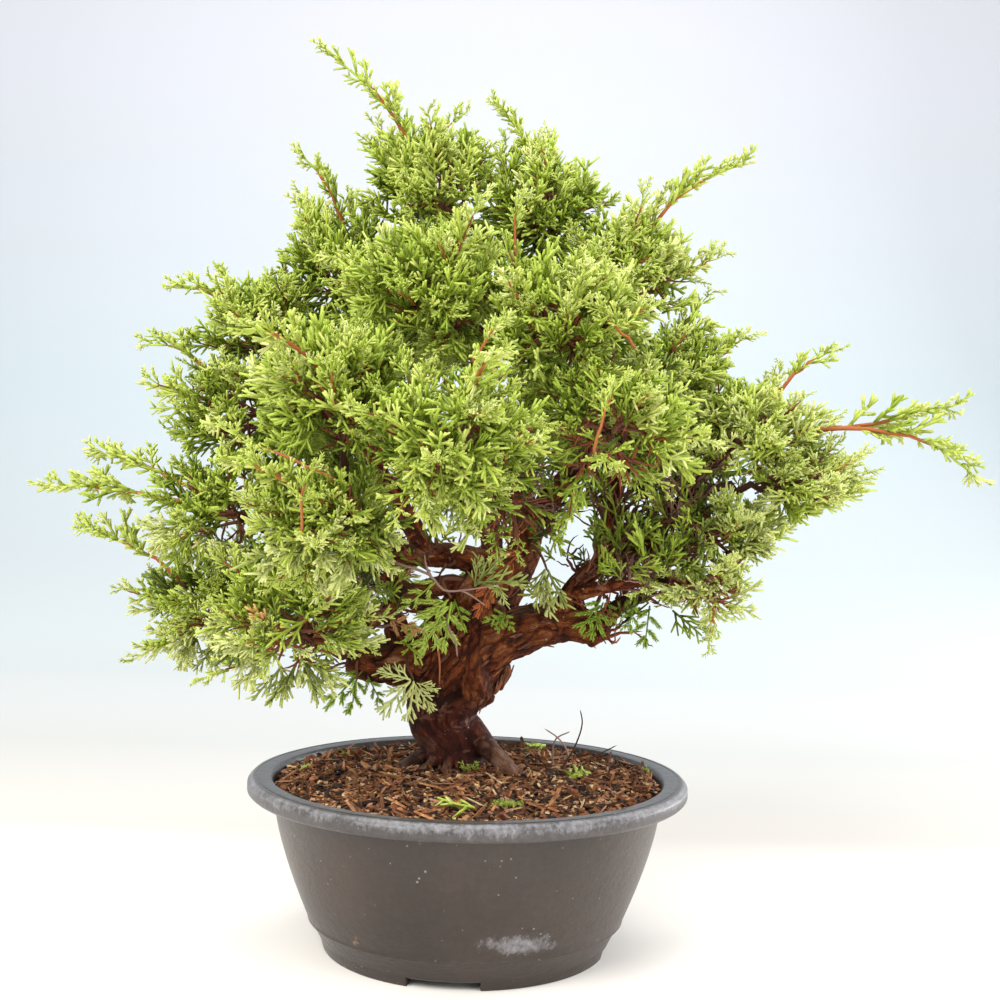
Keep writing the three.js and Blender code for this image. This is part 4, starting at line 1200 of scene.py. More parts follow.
# Colours of the sprays: greens from dark to light, dealt as painted shade deep in the crown and as painted
# light where sprays are open, high up or to the right, with each spray's tips a tone lighter; then the paler
# lower sprays, and the rest.
GREENS = {
    "green_0": "404d09",
    "green_1": "617216",
    "green_2": "889c2c",
    "green_3": "a3b443",
    "green_4": "b3be5c",
    "green_5": "c3ca7c",
    "pale_0": "828d42",
    "pale_1": "a7b05e",
    "pale_2": "c5cb80",
    "needle_0": "6c8a2a",
    "needle_1": "9cb63e",
    "needle_2": "bccd5e",
    "dead_0": "9a5028",
    "dead_1": "bd6a36",
    "tan_0": "a8763f",
    "tan_1": "cf9d62",
}
TWIG_COLOURS = {
    "twig_old": "4a2a1c",
    "twig_brown": "6a412e",
    "twig_red": "804226",
    "twig_new": "9c5830",
    "twig_dead": "94766a",
    "twig_grey": "7d5c4e",
}
piles = {name: Pile() for name in [*GREENS, *TWIG_COLOURS, "flake"]}


def place_sprays(kind, where, way, flat, scale, family, level, rng):
    """Copies of a kind's shapes in one family of colours: the inner part has the tone of the spray's level,
    and its tips the next lighter one."""
    chosen = rng.integers(0, len(SHAPES[kind]), len(where))
    turn = turns_to(way, flat) * scale[:, None, None]
    most = sum(name.startswith(family + "_") for name in GREENS) - 1
    for k, shape in enumerate(SHAPES[kind]):
        for tone in range(most + 1):
            for part, step in (("inner", 0), ("tips", 1)):
                mask = (chosen == k) & (np.clip(level + step, 0, most) == tone)
                for piece in shape[part]:
                    piles[f"{family}_{tone}"].add(copies(piece, where[mask], turn[mask]))


# The crown


def outness(points, centre, reach):
    """How far out points are in a mass: 0 at its middle and 1 at the edge of its space."""
    return np.linalg.norm((points - np.array(centre)) / np.array(reach), axis=-1)


mass_centres = np.array([mass[2] for mass in MASSES.values()], float)
mass_reaches = np.array([mass[3] for mass in MASSES.values()], float)


def in_space(points, index):
    """Whether each point is further in its own mass than in any other near it."""
    every = outness(points[:, None], mass_centres, mass_reaches)
    own = every[:, index].copy()
    every[:, index] = np.inf
    return (every > SPACE_REACH).all(1) | (own[:, None] + SPACE_MARGIN < every).all(1)


def openness(points):
    """The share of the directions round a point in which the crown soon ends, and their mean direction."""
    corners = np.array([c for c in np.ndindex(3, 3, 3) if c != (1, 1, 1)]) - 1.0
    ways = unit(corners)
    probes = points[:, None] + OPEN_WITHIN * ways[None]
    free = smooth(0.95, 1.25, outness(probes[:, :, None], mass_centres, mass_reaches).min(2))
    return free.mean(1), unit((free[:, :, None] * ways).sum(1) + 1e-6)


def spread_ways(count, rng):
    """Directions that cover a sphere evenly along a spiral, each turned a little at random."""
    k = np.arange(count)
    height = 1 - 2 * (k + 0.5) / count
    angle = k * np.pi * (3 - math.sqrt(5)) + rng.random(count) * 0.7
    across = np.sqrt(1 - height**2)
    return np.stack([across * np.cos(angle), across * np.sin(angle), height], 1)


def swung(ways, angle, roll):
    """Ways turned away from themselves by an angle, towards the side that roll gives."""
    side = unit(np.cross(ways, UP + 1e-3))
    other = np.cross(side, ways)
    to = np.cos(roll)[:, None] * side + np.sin(roll)[:, None] * other
    return np.cos(angle)[:, None] * ways + np.sin(angle)[:, None] * to


def stem_of(limb, at, centre):
    """A mass's stem as the three points of its curve and its radius where it starts."""
    points, radii = curve(LIMBS[limb], 49 if limb == "trunk" else 2 * len(LIMBS[limb]) - 1)
    step = round(at * (len(points) - 1))
    start, end = points[step], np.array(centre, float)
    bend = (start + end) / 2 + UP * STEM_ARCH * np.linalg.norm(end - start)
    return start, bend, end, min(radii[step] * STEM_TAPER, STEM_RADIUS)


# What the masses gather as they grow: each spray's root, way, twig and mass, and the main twigs.
crown = {"where": [], "way": [], "twig": [], "mass": []}
leaders = []


def grow_mass(index, limb, at, centre, reach):
    """One mass: a stem, main twigs that fan out of its outer half, and side twigs from the nearest of those
    to places spread evenly through the mass, which carry the sprays."""
    rng = seeded(index)
    start, bend, end, thick = stem_of(limb, at, centre)
    t = np.linspace(0, 0.97, 12)
    stem = bezier(start, bend, end, t) + rng.normal(0, 1.1, (len(t), 3)) * np.sin(np.pi * t)[:, None]
    width = np.where((t > 0) & (t < 0.97), thick * (1 - 0.55 * t) * rng.uniform(0.85, 1.2, len(t)), 0)
    piles["twig_old"].add(tubes(stem[None], width[None], 7))
    out = spread_ways(MAIN_TWIGS, rng)
    starts = bezier(start, bend, end, rng.uniform(0.55, 0.97, MAIN_TWIGS))
    ends = end + out * np.array(reach) * rng.uniform(0.5, 0.74, (MAIN_TWIGS, 1))
    length = np.linalg.norm(ends - starts, axis=1)[:, None]
    bends = (starts + ends) / 2 + length * (0.05 * UP + rng.normal(0, 0.12, (MAIN_TWIGS, 3)))
    paths = bezier(starts[:, None], bends[:, None], ends[:, None], np.linspace(0, 1, 7))
    piles["twig_brown"].add(tubes(paths, np.tile([0, 0.95, 0.85, 0.75, 0.65, 0.55, 0], (MAIN_TWIGS, 1)), 5))
    leaders.append((starts, bends, ends))
    count = int(SPRAY_TWIGS * min(reach) / 25)
    spot_ways = spread_ways(count, rng)
    spots = end + spot_ways * np.array(reach) * rng.uniform(0.42, 0.88, (count, 1))
    inside = in_space(spots, index) & clear_of_limbs(spots, LIMB_CLEARANCE)
    spots, spot_ways = spots[inside], spot_ways[inside]
    nearest = (spot_ways @ out.T + rng.normal(0, 0.08, (len(spots), MAIN_TWIGS))).argmax(1)
    share = rng.uniform(0.3, 0.95, len(spots))
    bases = bezier(starts[nearest], bends[nearest], ends[nearest], share)
    ways = bezier_way(starts[nearest], bends[nearest], ends[nearest], share)
    reach_of = np.linalg.norm(spots - bases, axis=1)[:, None]
    middles = (bases + spots) / 2 + reach_of * (0.22 * ways + rng.normal(0, 0.08, spots.shape))
    lines = bezier(bases[:, None], middles[:, None], spots[:, None], np.linspace(0, 1, 5))
    piles["twig_red"].add(tubes(lines, np.tile([0, 0.6, 0.52, 0.45, 0], (len(spots), 1)), 3))
    add_spray_roots(bases, middles, spots, index, rng)


def add_spray_roots(starts, bends, ends, index, rng):
    """Roots and ways of the sprays on a row of twigs: one at the end of each, and two on its sides."""
    roll = rng.uniform(0, 2 * np.pi, len(starts))
    token = rng.integers(0, MOODS, len(starts))
    for number, share in enumerate((0.35, 0.68, 1.0)):
        t = np.full(len(starts), share)
        way = bezier_way(starts, bends, ends, t)
        if share < 1:
            angle = np.radians(rng.uniform(28, 48, len(starts)))
            way = swung(way, angle, roll + np.pi * number + rng.normal(0, 0.5, len(starts)))
        crown["where"].append(bezier(starts, bends, ends, t))
        crown["way"].append(way)
        crown["twig"].append(token)
        crown["mass"].append(np.full(len(starts), index))


def airiness(points):
    """How thin the crown is: it is open above the right bough, from 1 at its lower edge to 0 higher up."""
    top = 190 + 32 * (smooth(-10, 30, points[:, 0]) - smooth(52, 92, points[:, 0]))
    below = smooth(top, top - 26, points[:, 2])
    return below * smooth(-46, -24, points[:, 0]) * smooth(108, 72, points[:, 0])


def right_side_light(points):
    """How much painted light brightens the sprays: it rises from 0 to 1 towards the right."""
    return smooth(40, 95, points[:, 0])


def within_edge(tips):
    """Whether each tip keeps inside the crown's right edge, which leans out above its foot."""
    return tips[:, 0] < RIGHT_END + RIGHT_LEAN * np.maximum(tips[:, 2] - RIGHT_FOOT, 0)


def dress_crown():
    """Sets the sprays of all masses: thinned inside the crown, turned up and out, dealt lighter greens
    where they are open to the sky, high up and to the right as painted light, and darker ones deep inside
    as painted shade, sparse and dull where it is airy, and paler and hanging under the crown's lower edge."""
    where, way, twig, mass = (np.concatenate(rows) for rows in crown.values())
    rng = seeded(CROWN_KEY)
    centre, reach = mass_centres[mass], mass_reaches[mass]
    open_share, open_way = openness(where)
    airy = airiness(where)
    own = (where - centre) / reach
    side = smooth(10, -30, where[:, 0]) + 0.75 * smooth(56, 80, where[:, 0])
    low = smooth(0.3, -0.4, own[:, 2]) * smooth(190, 154, where[:, 2]) * side
    droop = np.maximum(low, 0.5 * airy)
    lift = 0.42 * UP * (1 - 2.0 * droop[:, None])
    way = unit(0.62 * way + lift + 0.46 * open_way + rng.normal(0, 0.17, way.shape))
    scale = rng.uniform(0.72, 1.15, len(where))
    tips = where + way * (FAN_LENGTH * scale)[:, None]
    keep = rng.random(len(where)) < (0.03 + 2.2 * open_share) * (1 - 0.9 * airy) * (1 - 0.5 * low)
    keep &= clear_of_limbs(tips, LIMB_CLEARANCE) & clear_of_limbs(where + way * 6, 0.4)
    keep &= (tips[:, 2] > LOWEST_SPRAY) & within_edge(tips)
    keep &= outness(tips, centre, reach) < 1.3
    mood = rng.normal(size=MOODS)[twig]
    height = smooth(110, 330, where[:, 2])
    # Level of green: openness to the sky and height raise it as painted light, so that deep in the crown it
    # is low as painted shade; the airy part lowers it, and mood and chance vary it.
    level = 0.2 + 3.9 * open_share + 0.8 * height - 0.4 * airy + 0.6 * mood + rng.normal(0, 0.5, len(where))
    # Sprays towards the right get lighter greens, as painted light.
    level += 1.15 * right_side_light(where)
    level = np.clip(np.rint(level), 0, BRIGHTEST).astype(int)
    flat = unit(np.cross(way, rng.normal(size=way.shape)) + 0.5 * open_way)
    hangs = keep & (rng.random(len(where)) < low)
    knobs = keep & ~hangs & (rng.random(len(where)) < 0.2)
    loose = keep & ~hangs & ~knobs & (airy > 0.4)
    fans = keep & ~hangs & ~knobs & ~loose
    for kind, mask in (("fan", fans), ("knob", knobs), ("loose", loose)):
        place_sprays(kind, where[mask], way[mask], flat[mask], scale[mask], "green", level[mask], rng)
    dry = hangs & (rng.random(len(where)) < 0.06) & (where[:, 0] > -76)
    for family, mask in (("pale", hangs & ~dry), ("tan", dry)):
        tone = np.clip(level[mask] - 1, 0, 1)
        place_sprays("hanging", where[mask], way[mask], flat[mask], scale[mask] * 0.95, family, tone, rng)


def grow_shoots(starts, bends, tips, leafy_from, count, size, thick, level, bark, rng):
    """A row of new shoots: each has a bare stem that turns green, with count sprays left and right that get
    shorter to its tip, and a last spray that ends it."""
    start, bend, tip = starts[:, None], bends[:, None], tips[:, None]
    wood = np.linspace(0.02, 0.72, 8)
    green = np.linspace(0.66, 0.95, 5)
    for t, name in ((wood, bark), (green, "green_3")):
        line = bezier(start, bend, tip, t)
        line[:, 1:-1] += rng.normal(0, 0.3, line[:, 1:-1].shape)
        width = np.where((t > t[0]) & (t < t[-1]), thick * (1 - 0.62 * t), 0)
        piles[name].add(tubes(line, np.tile(width, (len(starts), 1)), 5))
    share = np.tile(np.linspace(leafy_from, 0.92, count), len(starts))
    a, b, c = (np.repeat(part, count, 0) for part in (starts, bends, tips))
    where, way = bezier(a, b, c, share), bezier_way(a, b, c, share)
    hand = np.tile(np.where(np.arange(count) % 2, 0.3, np.pi - 0.3), len(starts))
    angle = np.radians(rng.uniform(30, 46, len(share)))
    way = unit(swung(way, angle, hand + rng.normal(0, 0.6, len(share))) + 0.1 * UP)
    scale = np.repeat(size, count) * (1.3 - 0.85 * share) * rng.uniform(0.8, 1.2, len(share))
    flat = unit(UP + rng.normal(0, 0.45, way.shape))
    tone = np.rint(np.repeat(level, count) + 1.2 * share + rng.normal(0, 0.4, len(share)))
    tone = np.clip(tone, 1, BRIGHTEST).astype(int)
    place_sprays("shoot", where, way, flat, scale, "green", tone, rng)
    last = bezier(starts, bends, tips, np.full(len(starts), 0.86))
    reach = tips - last
    tip_scale = np.linalg.norm(reach, axis=1) / SHOOT_LENGTH
    tone = np.full(len(last), BRIGHTEST)
    place_sprays("shoot", last, reach, flat[:len(last)], tip_scale, "green", tone, rng)


# Shoots whose orange stems run over the crown's front: the root, bend and tip of each.
FRONT_SHOOTS = [
    ((-36, -112, 206), (-62, -100, 232), (-84, -62, 248)),
    ((-42, -122, 189), (-70, -108, 199), (-97, -72, 210)),
    ((-53, -118, 166), (-58, -118, 185), (-49, -120, 195)),
    ((41, -112, 197), (42, -118, 217), (53, -112, 227)),
    ((57, -96, 236), (47, -104, 245), (39, -104, 252)),
    ((0, -118, 227), (4, -124, 237), (12, -120, 243)),
    ((-17, -66, 259), (-9, -74, 269), (-15, -70, 278)),
    ((16, -58, 269), (10, -62, 286), (18, -58, 299)),
]


def add_shoots():
    """The long shoots of the photograph's outline, those over its front, and short ones at the end and on the
    sides of each main twig that ends in the open."""
    rng = seeded(SHOOT_KEY)
    for mass, bend, tip in SHOOTS:
        start, bend, tip = (np.array([place], float) for place in (MASSES[mass][2], bend, tip))
        start = bezier(start, bend, tip, np.array([0.1]))
        length = np.linalg.norm(tip - start)
        size = np.array([np.clip(length / 42, 0.7, 1.3)])
        count = max(6, int(length / 5.2))
        grow_shoots(start, bend, tip, 0.36, count, size, 1.05, np.array([2.4]), "twig_new", rng)
    rows = (np.array(row, float) for row in zip(*FRONT_SHOOTS))
    size, level = (np.full(len(FRONT_SHOOTS), value) for value in (0.75, 2.2))
    grow_shoots(*rows, 0.42, 9, size, 0.62, level, "twig_new", rng)
    starts, bends, ends = (np.repeat(np.vstack(parts), SHOOTS_PER_TWIG, 0) for parts in zip(*leaders))
    first = np.arange(len(ends)) % SHOOTS_PER_TWIG == 0
    share = np.where(first, 1.0, rng.uniform(0.5, 0.9, len(ends)))
    roots, way = bezier(starts, bends, ends, share), bezier_way(starts, bends, ends, share)
    angle = np.where(first, 0, np.radians(rng.uniform(30, 60, len(ends))))
    way = swung(way, angle, rng.uniform(0, 6.3, len(ends)))
    open_share, open_way = openness(roots + 6 * way)
    airy = airiness(roots)
    lift = 0.4 * UP * (1 - 1.2 * airy[:, None])
    way = unit(0.8 * way + 0.5 * open_way + lift + rng.normal(0, 0.15, way.shape))
    length = rng.uniform(15, 28, len(roots))[:, None] * np.where(first, 1, 0.85)[:, None]
    tips = roots + way * length
    bends = roots + way * length * 0.5 + rng.normal(0, 0.07, way.shape) * length + 0.06 * UP * length
    keep = (open_share > 0.2) & clear_of_limbs(tips, 3) & (tips[:, 2] > LOWEST_SHOOT) & within_edge(tips)
    keep &= rng.random(len(roots)) > 0.88 * airy
    size = length[:, 0] / 30
    # Lighter where open to the sky and towards the right, as painted light; darker where it is airy.
    level = 1.0 + 3 * open_share - 0.8 * airy + 0.8 * right_side_light(roots)
    bright = rng.random(len(roots)) < 0.3
    for chosen, bark in ((keep & bright, "twig_new"), (keep & ~bright, "twig_red")):
        rows = (part[chosen] for part in (roots, bends, tips))
        grow_shoots(*rows, 0.12, 7, size[chosen], 0.55, level[chosen], bark, rng)


# Small sprays that show before the trunk, by family: the level, root and tip of each.
DETAILS = {
    "needle": [
        (1, (-9, -19, 143), (-26, -21, 126)), (1, (-10, -19, 142), (-20, -22, 120)),
        (1, (-8, -19, 142), (-11, -22, 121)), (0, (-7, -17, 143), (-2, -20, 130)),
        (1, (-14, -17, 150), (-28, -20, 138)), (0, (-32, -17, 150), (-38, -20, 138)),
        (0, (14, -16, 137), (5, -20, 134)), (0, (13, -16, 138), (17, -21, 131)),
        (0, (12, -16, 137), (11, -22, 130)), (0, (52, -16, 144), (43, -19, 130)),
        (0, (53, -16, 143), (48, -20, 127)), (0, (54, -16, 144), (58, -19, 134)),
        (0, (66, -14, 146), (63, -17, 130)), (0, (-44, -8, 112), (-58, -14, 97)),
        (0, (-46, -8, 112), (-48, -14, 94)), (0, (-42, -8, 110), (-35, -12, 98)),
        (0, (72, -14, 142), (70, -16, 124)),
    ],
    "pale": [
        (2, (-23, -26, 111), (-38, -27, 116)), (2, (-23, -26, 111), (-36, -28, 95)),
        (2, (-22, -26, 111), (-23, -29, 93)), (2, (-21, -26, 110), (-11, -28, 108)),
        (2, (-22, -26, 110), (-13, -29, 98)), (0, (29, -19, 156), (25, -21, 138)),
        (2, (29, -19, 156), (31, -22, 134)), (0, (30, -19, 156), (38, -21, 138)),
        (0, (1, -20, 148), (2, -21, 163)), (0, (1, -20, 148), (11, -21, 163)),
        (0, (2, -23, 150), (24, -24, 152)), (1, (10, -24, 150), (13, -24, 139)),
    ],
    "dead": [(0, (20, -16, 163), (3, -18, 146)), (0, (9, -17, 152), (2, -18, 136))],
    "tan": [(0, (-33, -22, 135), (-19, -24, 130)), (0, (58, -12, 158), (66, -14, 151))],
}

# Green bits on the soil: a shape, a level of green, its root and tip.
FALLEN = [
    ("shoot", 3, (4, -68, 71), (-10, -65, 71)), ("knob", 3, (-2, -66, 71), (-7, -60, 71.5)),
    ("shoot", 3, (34, 58, 71), (25, 47, 73)), ("shoot", 2, (41, -11, 70.5), (48, 4, 72)),
    ("knob", 2, (75, 8, 69), (74, 9, 73)), ("knob", 3, (-70, 0, 69), (-66, 4, 71)),
    ("knob", 1, (-52, 26, 70), (-56, 28, 72)), ("knob", 3, (-1, -3, 70.5), (-3, -4, 76)),
    ("knob", 2, (2, -3, 70.5), (4, -5, 75)), ("knob", 3, (0, -4, 70.5), (0, -6, 74)),
]
MOSS = (15, -57, 69.5)
MOSS_SIZE = 6
MOSS_TUFTS = 70

# Thin bare twigs before the trunk and on the soil: the colour, radius and places of each.
THREADS = [
    ("twig_dead", 0.62, [
        (-38, -8, 160), (-30, -24, 157), (-17, -26, 153), (-11, -26, 147), (-4, -26, 147), (13, -24, 150),
    ]),
    ("twig_dead", 0.5, [(-16, -26, 152), (-18, -26, 156), (-19, -26, 161)]),
    ("twig_dead", 0.45, [(-4, -26, 147), (0, -26, 145), (6, -26, 141)]),
    ("twig_new", 0.5, [(-12, -12, 134), (-13, -21, 126), (-12, -23, 117), (-12, -23, 109)]),
    ("twig_dead", 0.5, [(-10, -14, 137), (-9, -21, 132), (-6, -23, 126), (-5, -23, 120)]),
    ("twig_brown", 0.7, [(-26, -4, 118), (-25, -17, 115), (-22, -26, 111)]),
    ("twig_brown", 0.9, [(-4, -4, 150), (-12, -14, 150), (-8, -19, 143)]),
    ("twig_brown", 0.7, [(24, 2, 165), (28, -12, 160), (30, -20, 155)]),
    ("twig_brown", 0.7, [(-30, -4, 160), (-22, -14, 160), (-16, -18, 150)]),
    ("twig_brown", 0.8, [(8, -2, 142), (13, -12, 139), (13, -17, 137)]),
    ("twig_brown", 0.8, [(50, -10, 140), (53, -14, 147), (53, -17, 144)]),
    ("twig_brown", 0.8, [(-40, -4, 118), (-46, -8, 116), (-46, -10, 108)]),
    ("twig_dead", 0.45, [(40, 12, 68), (41, 6, 78), (37, 4, 84), (31, 4, 88)]),
    ("twig_dead", 0.4, [(35, 10, 70), (36, 6, 83), (42, 4, 87)]),
    ("twig_old", 0.4, [(37, 6, 68), (44, 6, 80), (47, 6, 90), (46, 6, 96)]),
    ("twig_old", 0.4, [(40, 2, 68), (52, 6, 76), (62, 8, 81)]),
]


def add_details():
    """Juvenile, pale and dead sprays by the trunk, sprigs and moss on the soil, and thin bare twigs."""
    rng = seeded(DETAIL_KEY)
    for family, rows in DETAILS.items():
        kind, long = ("hanging", HANGING_REACH) if family == "pale" else ("feather", FEATHER_REACH)
        for level, root, tip in rows:
            root, tip = np.array([root], float), np.array([tip], float)
            scale = np.array([max(np.linalg.norm(tip - root) / long, 0.42)])
            flat = unit(np.array([[rng.normal(0, 0.25), -1, rng.normal(0, 0.25)]]))
            place_sprays(kind, root, tip - root, flat, scale, family, np.array([level]), rng)
    for kind, level, root, tip in FALLEN:
        root, tip = np.array([root], float), np.array([tip], float)
        scale = np.linalg.norm(tip - root, axis=1) / SHOOT_LENGTH
        flat = unit(UP + rng.normal(0, 0.2, (1, 3)))
        place_sprays(kind, root, tip - root, flat, scale, "green", np.array([level]), rng)
    count = MOSS_TUFTS
    tufts = np.array(MOSS) + rng.normal(0, MOSS_SIZE / 2, (count, 3)) * (1, 0.6, 0)
    way = unit(UP + rng.normal(0, 0.5, (count, 3)))
    flat = rng.normal(size=(count, 3))
    level = rng.integers(1, 4, count)
    place_sprays("knob", tufts, way, flat, np.full(count, 0.13), "green", level, rng)
    for name, thick, places in THREADS:
        line, width = curve([(*place, thick) for place in places], 16)
        width = width * np.linspace(1.15, 0.6, len(line))
        piles[name].add(tubes(line[None], width[None], 5))


def bare_twigs(limb, first, last, count, longest, thick, leafy, key, name):
    """Thin crooked twigs that leave a stretch of a limb and fork three times. Some end in sprays."""
    rng = seeded(TWIG_KEY, key)
    points, radii = curve(LIMBS[limb], 100)
    most = len(points) - 1
    at = rng.integers(int(most * first) + 1, int(most * last) + 1, count)
    along = unit(points[at] - points[at - 1])
    base = points[at]
    way = unit(swung(along, np.radians(rng.uniform(30, 75, count)), rng.uniform(0, 6.3, count)) + 0.3 * UP)
    way[:, 2] = np.maximum(way[:, 2], 0.25 * abs(way[:, 2]))
    length = rng.uniform(0.4, 1, count)[:, None] * longest + radii[at][:, None]
    tip = base + unit(way) * length + rng.normal(0, 0.2, (count, 3)) * length
    bend = (base + tip) / 2 + rng.normal(0, 0.22, (count, 3)) * length
    line = bezier(base[:, None], bend[:, None], tip[:, None], np.linspace(0, 1, 9))
    line[:, 1:-1] += rng.normal(0, 0.7, line[:, 1:-1].shape)
    width = thick * np.array([0, 1, 0.9, 0.8, 0.72, 0.62, 0.52, 0.42, 0]) * rng.uniform(0.8, 1.25, (count, 9))
    piles[name].add(tubes(line, width, 4))
    for share in (0.34, 0.55, 0.78):
        at = np.full(count, share)
        fork = bezier(base, bend, tip, at)
        fork_way = bezier_way(base, bend, tip, at)
        fork_way = swung(fork_way, np.radians(rng.uniform(25, 55, count)), rng.uniform(0, 6.3, count))
        reach = length * rng.uniform(0.3, 0.6, (count, 1))
        end = fork + unit(fork_way + 0.25 * UP) * reach
        middle = (fork + end) / 2 + rng.normal(0, 0.18, (count, 3)) * reach
        line = bezier(fork[:, None], middle[:, None], end[:, None], np.linspace(0, 1, 6))
        line[:, 1:-1] += rng.normal(0, 0.3, line[:, 1:-1].shape)
        piles[name].add(tubes(line, np.tile([0, 0.55, 0.46, 0.4, 0.34, 0], (count, 1)) * thick, 3))
        green = (rng.random(count) < leafy) & clear_of_limbs(end, 2)
        spray_way = unit(end - middle + 0.2 * reach * UP)
        flat = unit(rng.normal(size=(count, 3)) + UP)
        level = rng.integers(0, 3, count)
        scale = rng.uniform(0.6, 0.95, count)
        rows = (part[green] for part in (end, spray_way, flat, scale))
        place_sprays("fan", *rows, "green", level[green], rng)


# Limbs that carry bare twigs in the open parts of the crown: from which share of the limb to which, how many,
# the longest in millimetres, their radius, and the share of their ends with sprays.
TWIGGY = [
    ("bough_right_main", 0.15, 1, 46, 30, 0.9, 0.2), ("bough_right_low", 0.3, 1, 18, 20, 0.8, 0.3),
    ("bough_right_short", 0.3, 1, 16, 20, 0.8, 0.3), ("bough_right_upright", 0.2, 1, 34, 28, 0.9, 0.2),
    ("bough_right_rise", 0.2, 1, 20, 24, 0.8, 0.25), ("bough_right", 0.6, 0.9, 8, 14, 0.9, 0.2),
    ("bough_left_arch", 0.2, 1, 20, 24, 1.0, 0.35), ("bough_left_low", 0.4, 1, 14, 18, 0.8, 0.4),
    ("bough_left_rise", 0.1, 1, 14, 24, 0.9, 0.3), ("bough_left_thick", 0.6, 1, 6, 14, 0.8, 0.4),
    ("bough_front", 0.2, 1, 44, 26, 0.75, 0.25), ("bough_front_left", 0.1, 1, 16, 22, 0.8, 0.35),
    ("bough_front_right", 0.1, 1, 26, 30, 0.75, 0.25),
    ("bough_back", 0.1, 1, 18, 26, 1.0, 0.35), ("bough_back_left", 0.3, 1, 10, 22, 0.9, 0.35),
    ("trunk", 0.48, 0.68, 30, 28, 1.0, 0.35), ("trunk", 0.68, 1, 12, 20, 0.8, 0.2),
]


def add_flakes(points):
    """Loose slivers of bark that lie along the limbs with one end lifted."""
    rng = seeded(FLAKE_KEY)
    chosen = points[rng.choice(len(points), FLAKES, replace=False)]
    nearest = gaps_to_limbs(chosen).argmin(1)
    keep = (chosen[:, 2] > GROUND + 24) & (limb_radii[nearest] > 2.2)
    place, near = chosen[keep], nearest[keep]
    way = samples[near][:, 4:7] * rng.choice([-1, 1], (len(place), 1))
    out = unit(place - limb_points[near])
    size = rng.uniform(1.2, 3.2, len(place)) * np.clip(limb_radii[near] / 9, 0.4, 1.1)
    lean = unit(way + out * rng.uniform(0.02, 0.3, (len(place), 1)) + rng.normal(0, 0.12, way.shape))
    turn = turns_to(lean, out) * size[:, None, None] * np.array([1, 2.4, 1.2])
    kind = rng.integers(0, 3, len(place))
    for k in range(3):
        piles["flake"].add(copies(sliver_shape(rng), (place + out * 0.1)[kind == k], turn[kind == k]))


def add_tree():
    """Trunk, boughs, twigs and all sprays."""
    add_flakes(add_bark())
    for index, (name, mass) in enumerate(MASSES.items()):
        if name != "tuft_left":
            grow_mass(index, *mass)
    dress_crown()
    add_shoots()
    add_details()
    for key, row in enumerate(TWIGGY):
        bare_twigs(*row, key, ("twig_brown", "twig_grey", "twig_red")[key % 3])
    masses = ["foliage_" + name for name in MASSES]
    for name, colour in GREENS.items():
        stands_for = masses if name.split("_")[0] in ("green", "pale") else ()
        finish = plain_finish("spray_" + name, colour)
        write_pile("sprays_" + name, piles[name], finish, stands_for)
    for name, colour in TWIG_COLOURS.items():
        write_pile(name + "s", piles[name], plain_finish(name, colour, 0.85), masses)
    write_pile("bark_flakes", piles["flake"], grain_finish("flake", "3a1c11", "7d4d36"), (), True)


def add_pot_and_soil():
    """The pot, the soil's body and the grains that lie on it."""
    mesh, points = pot_mesh()
    keep_values(mesh, "wear", pot_wear(points))
    keep_values(mesh, "dust", pot_dust(points))
    add_piece("pot_shell", mesh, pot_finish(), ["pot"])
    add_piece("soil_bed", soil_mesh(), earth_finish(), ["soil"])
    for key, row in enumerate(GRAINS):
        strew(key + 1, *row)
    for name, (dark, light) in SOIL_COLOURS.items():
        finish = grain_finish("soil_" + name, dark, light)
        write_pile("soil_" + name, soil_piles[name], finish, (), True)


# The stage: how far its floor reaches, where its wall stands, how high that is, and the bend between them.
STAGE_REACH = 9000.0
WALL_PLACE = 1500.0
WALL_HEIGHT = 2600.0
STAGE_BEND = 700.0
# Backdrop colours by how far behind the tree and how high: near-white round the tree, then grey and pale
# blue-grey, a painted pool of light and its falloff.
BACKDROP_LIGHT_POOL = [
    (0.01, "f0ebe4"), (0.08, "b8b3ac"), (0.19, "acaca9"), (0.3, "b3b5b4"), (0.42, "b6bcbc"),
    (0.55, "b3babd"), (0.72, "b7c1c5"), (0.93, "cacad2"),
]

# Soft square lamps: the place, size, power and colour of each. All point at the middle of the tree.
LAMPS = {
    "key": ((-700, -900, 1100), 900, 25, (1.0, 0.98, 0.94)),
    "fill": ((900, -800, 700), 900, 9, (0.97, 0.99, 1.0)),
    "top": ((100, 200, 1500), 1000, 20, (1.0, 1.0, 1.0)),
    "right": ((1150, 600, 350), 600, 13, (0.98, 0.99, 1.0)),
    "left": ((-1150, 500, 350), 600, 3.5, (1.0, 0.99, 0.97)),
}
LAMP_AIM = (0, 0, 190)
SKY_COLOUR = (0.92, 0.96, 1.0, 1.0)
SKY_STRENGTH = 0.74


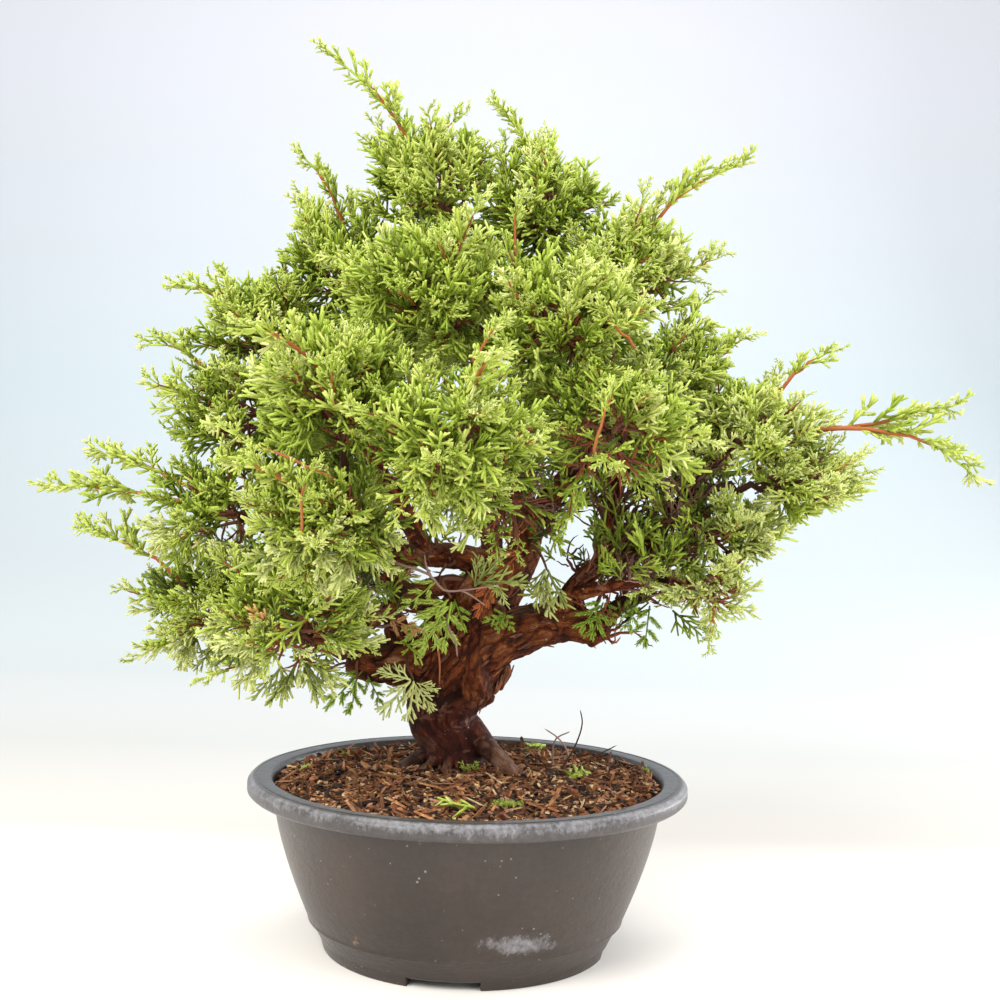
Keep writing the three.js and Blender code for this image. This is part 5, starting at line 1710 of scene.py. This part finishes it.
def add_backdrop():
    """A pale floor that curves up into a pale wall. Its colour, near-white round the tree and greyer further
    off, is a painted pool of light.
    """
    turn = np.linspace(0, np.pi / 2, 16)
    rise = zip(WALL_PLACE - STAGE_BEND + STAGE_BEND * np.sin(turn), STAGE_BEND - STAGE_BEND * np.cos(turn))
    profile = [(-STAGE_REACH, 0.0), *rise, (WALL_PLACE, WALL_HEIGHT)]
    x = np.linspace(-STAGE_REACH, STAGE_REACH, 5)
    points = np.array([(u, y, z) for y, z in profile for u in x])
    here = (np.arange(len(profile) - 1)[:, None] * len(x) + np.arange(len(x) - 1)).ravel()
    quads = np.stack([here, here + 1, here + len(x) + 1, here + len(x)], 1)
    mesh = make_mesh("backdrop", points, [quads])
    backdrop = bpy.data.objects.new("backdrop", mesh)
    bpy.context.scene.collection.objects.link(backdrop)
    finish = Finish("backdrop", "f2f3f4", 0.9)
    back, height = (finish.along(finish.places(), axis) for axis in "YZ")
    finish.set("Base Color", finish.ramp((back + height * 0.6) * 0.45, BACKDROP_LIGHT_POOL))
    mesh.materials.append(finish.material)


def add_lamps():
    """The soft lamps, and a pale sky all round."""
    for name, (place, size, power, colour) in LAMPS.items():
        light = bpy.data.lights.new(name, "AREA")
        light.size = size * MM
        light.energy = power
        light.color = colour
        lamp = bpy.data.objects.new(name, light)
        lamp.location = np.array(place) * MM
        aim = np.array(LAMP_AIM) - np.array(place)
        turn = turns_to(-aim[None], UP[None] + 0.01)[0][:, [1, 2, 0]]
        lamp.rotation_euler = Matrix(turn).to_euler()
        lamp.visible_camera = False
        bpy.context.scene.collection.objects.link(lamp)
    world = bpy.data.worlds.new("studio")
    bpy.context.scene.world = world
    world.use_nodes = True
    world.node_tree.nodes["Background"].inputs["Color"].default_value = SKY_COLOUR
    world.node_tree.nodes["Background"].inputs["Strength"].default_value = SKY_STRENGTH


def add_camera():
    """The camera, and plain colours for what it sees."""
    camera = bpy.data.objects.new("camera", bpy.data.cameras.new("camera"))
    camera.data.lens = CAMERA_LENS
    camera.data.sensor_width = SENSOR
    camera.data.clip_start = 0.01
    place = Matrix.Translation([value * MM for value in CAMERA_PLACE])
    tilt = Matrix.Rotation(math.pi / 2 - CAMERA_DOWN, 4, "X")
    camera.matrix_world = place @ tilt @ Matrix.Rotation(CAMERA_ROLL, 4, "Z")
    bpy.context.scene.collection.objects.link(camera)
    bpy.context.scene.camera = camera
    bpy.context.scene.view_settings.view_transform = "Standard"


add_pot_and_soil()
add_tree()
add_backdrop()
add_lamps()
add_camera()
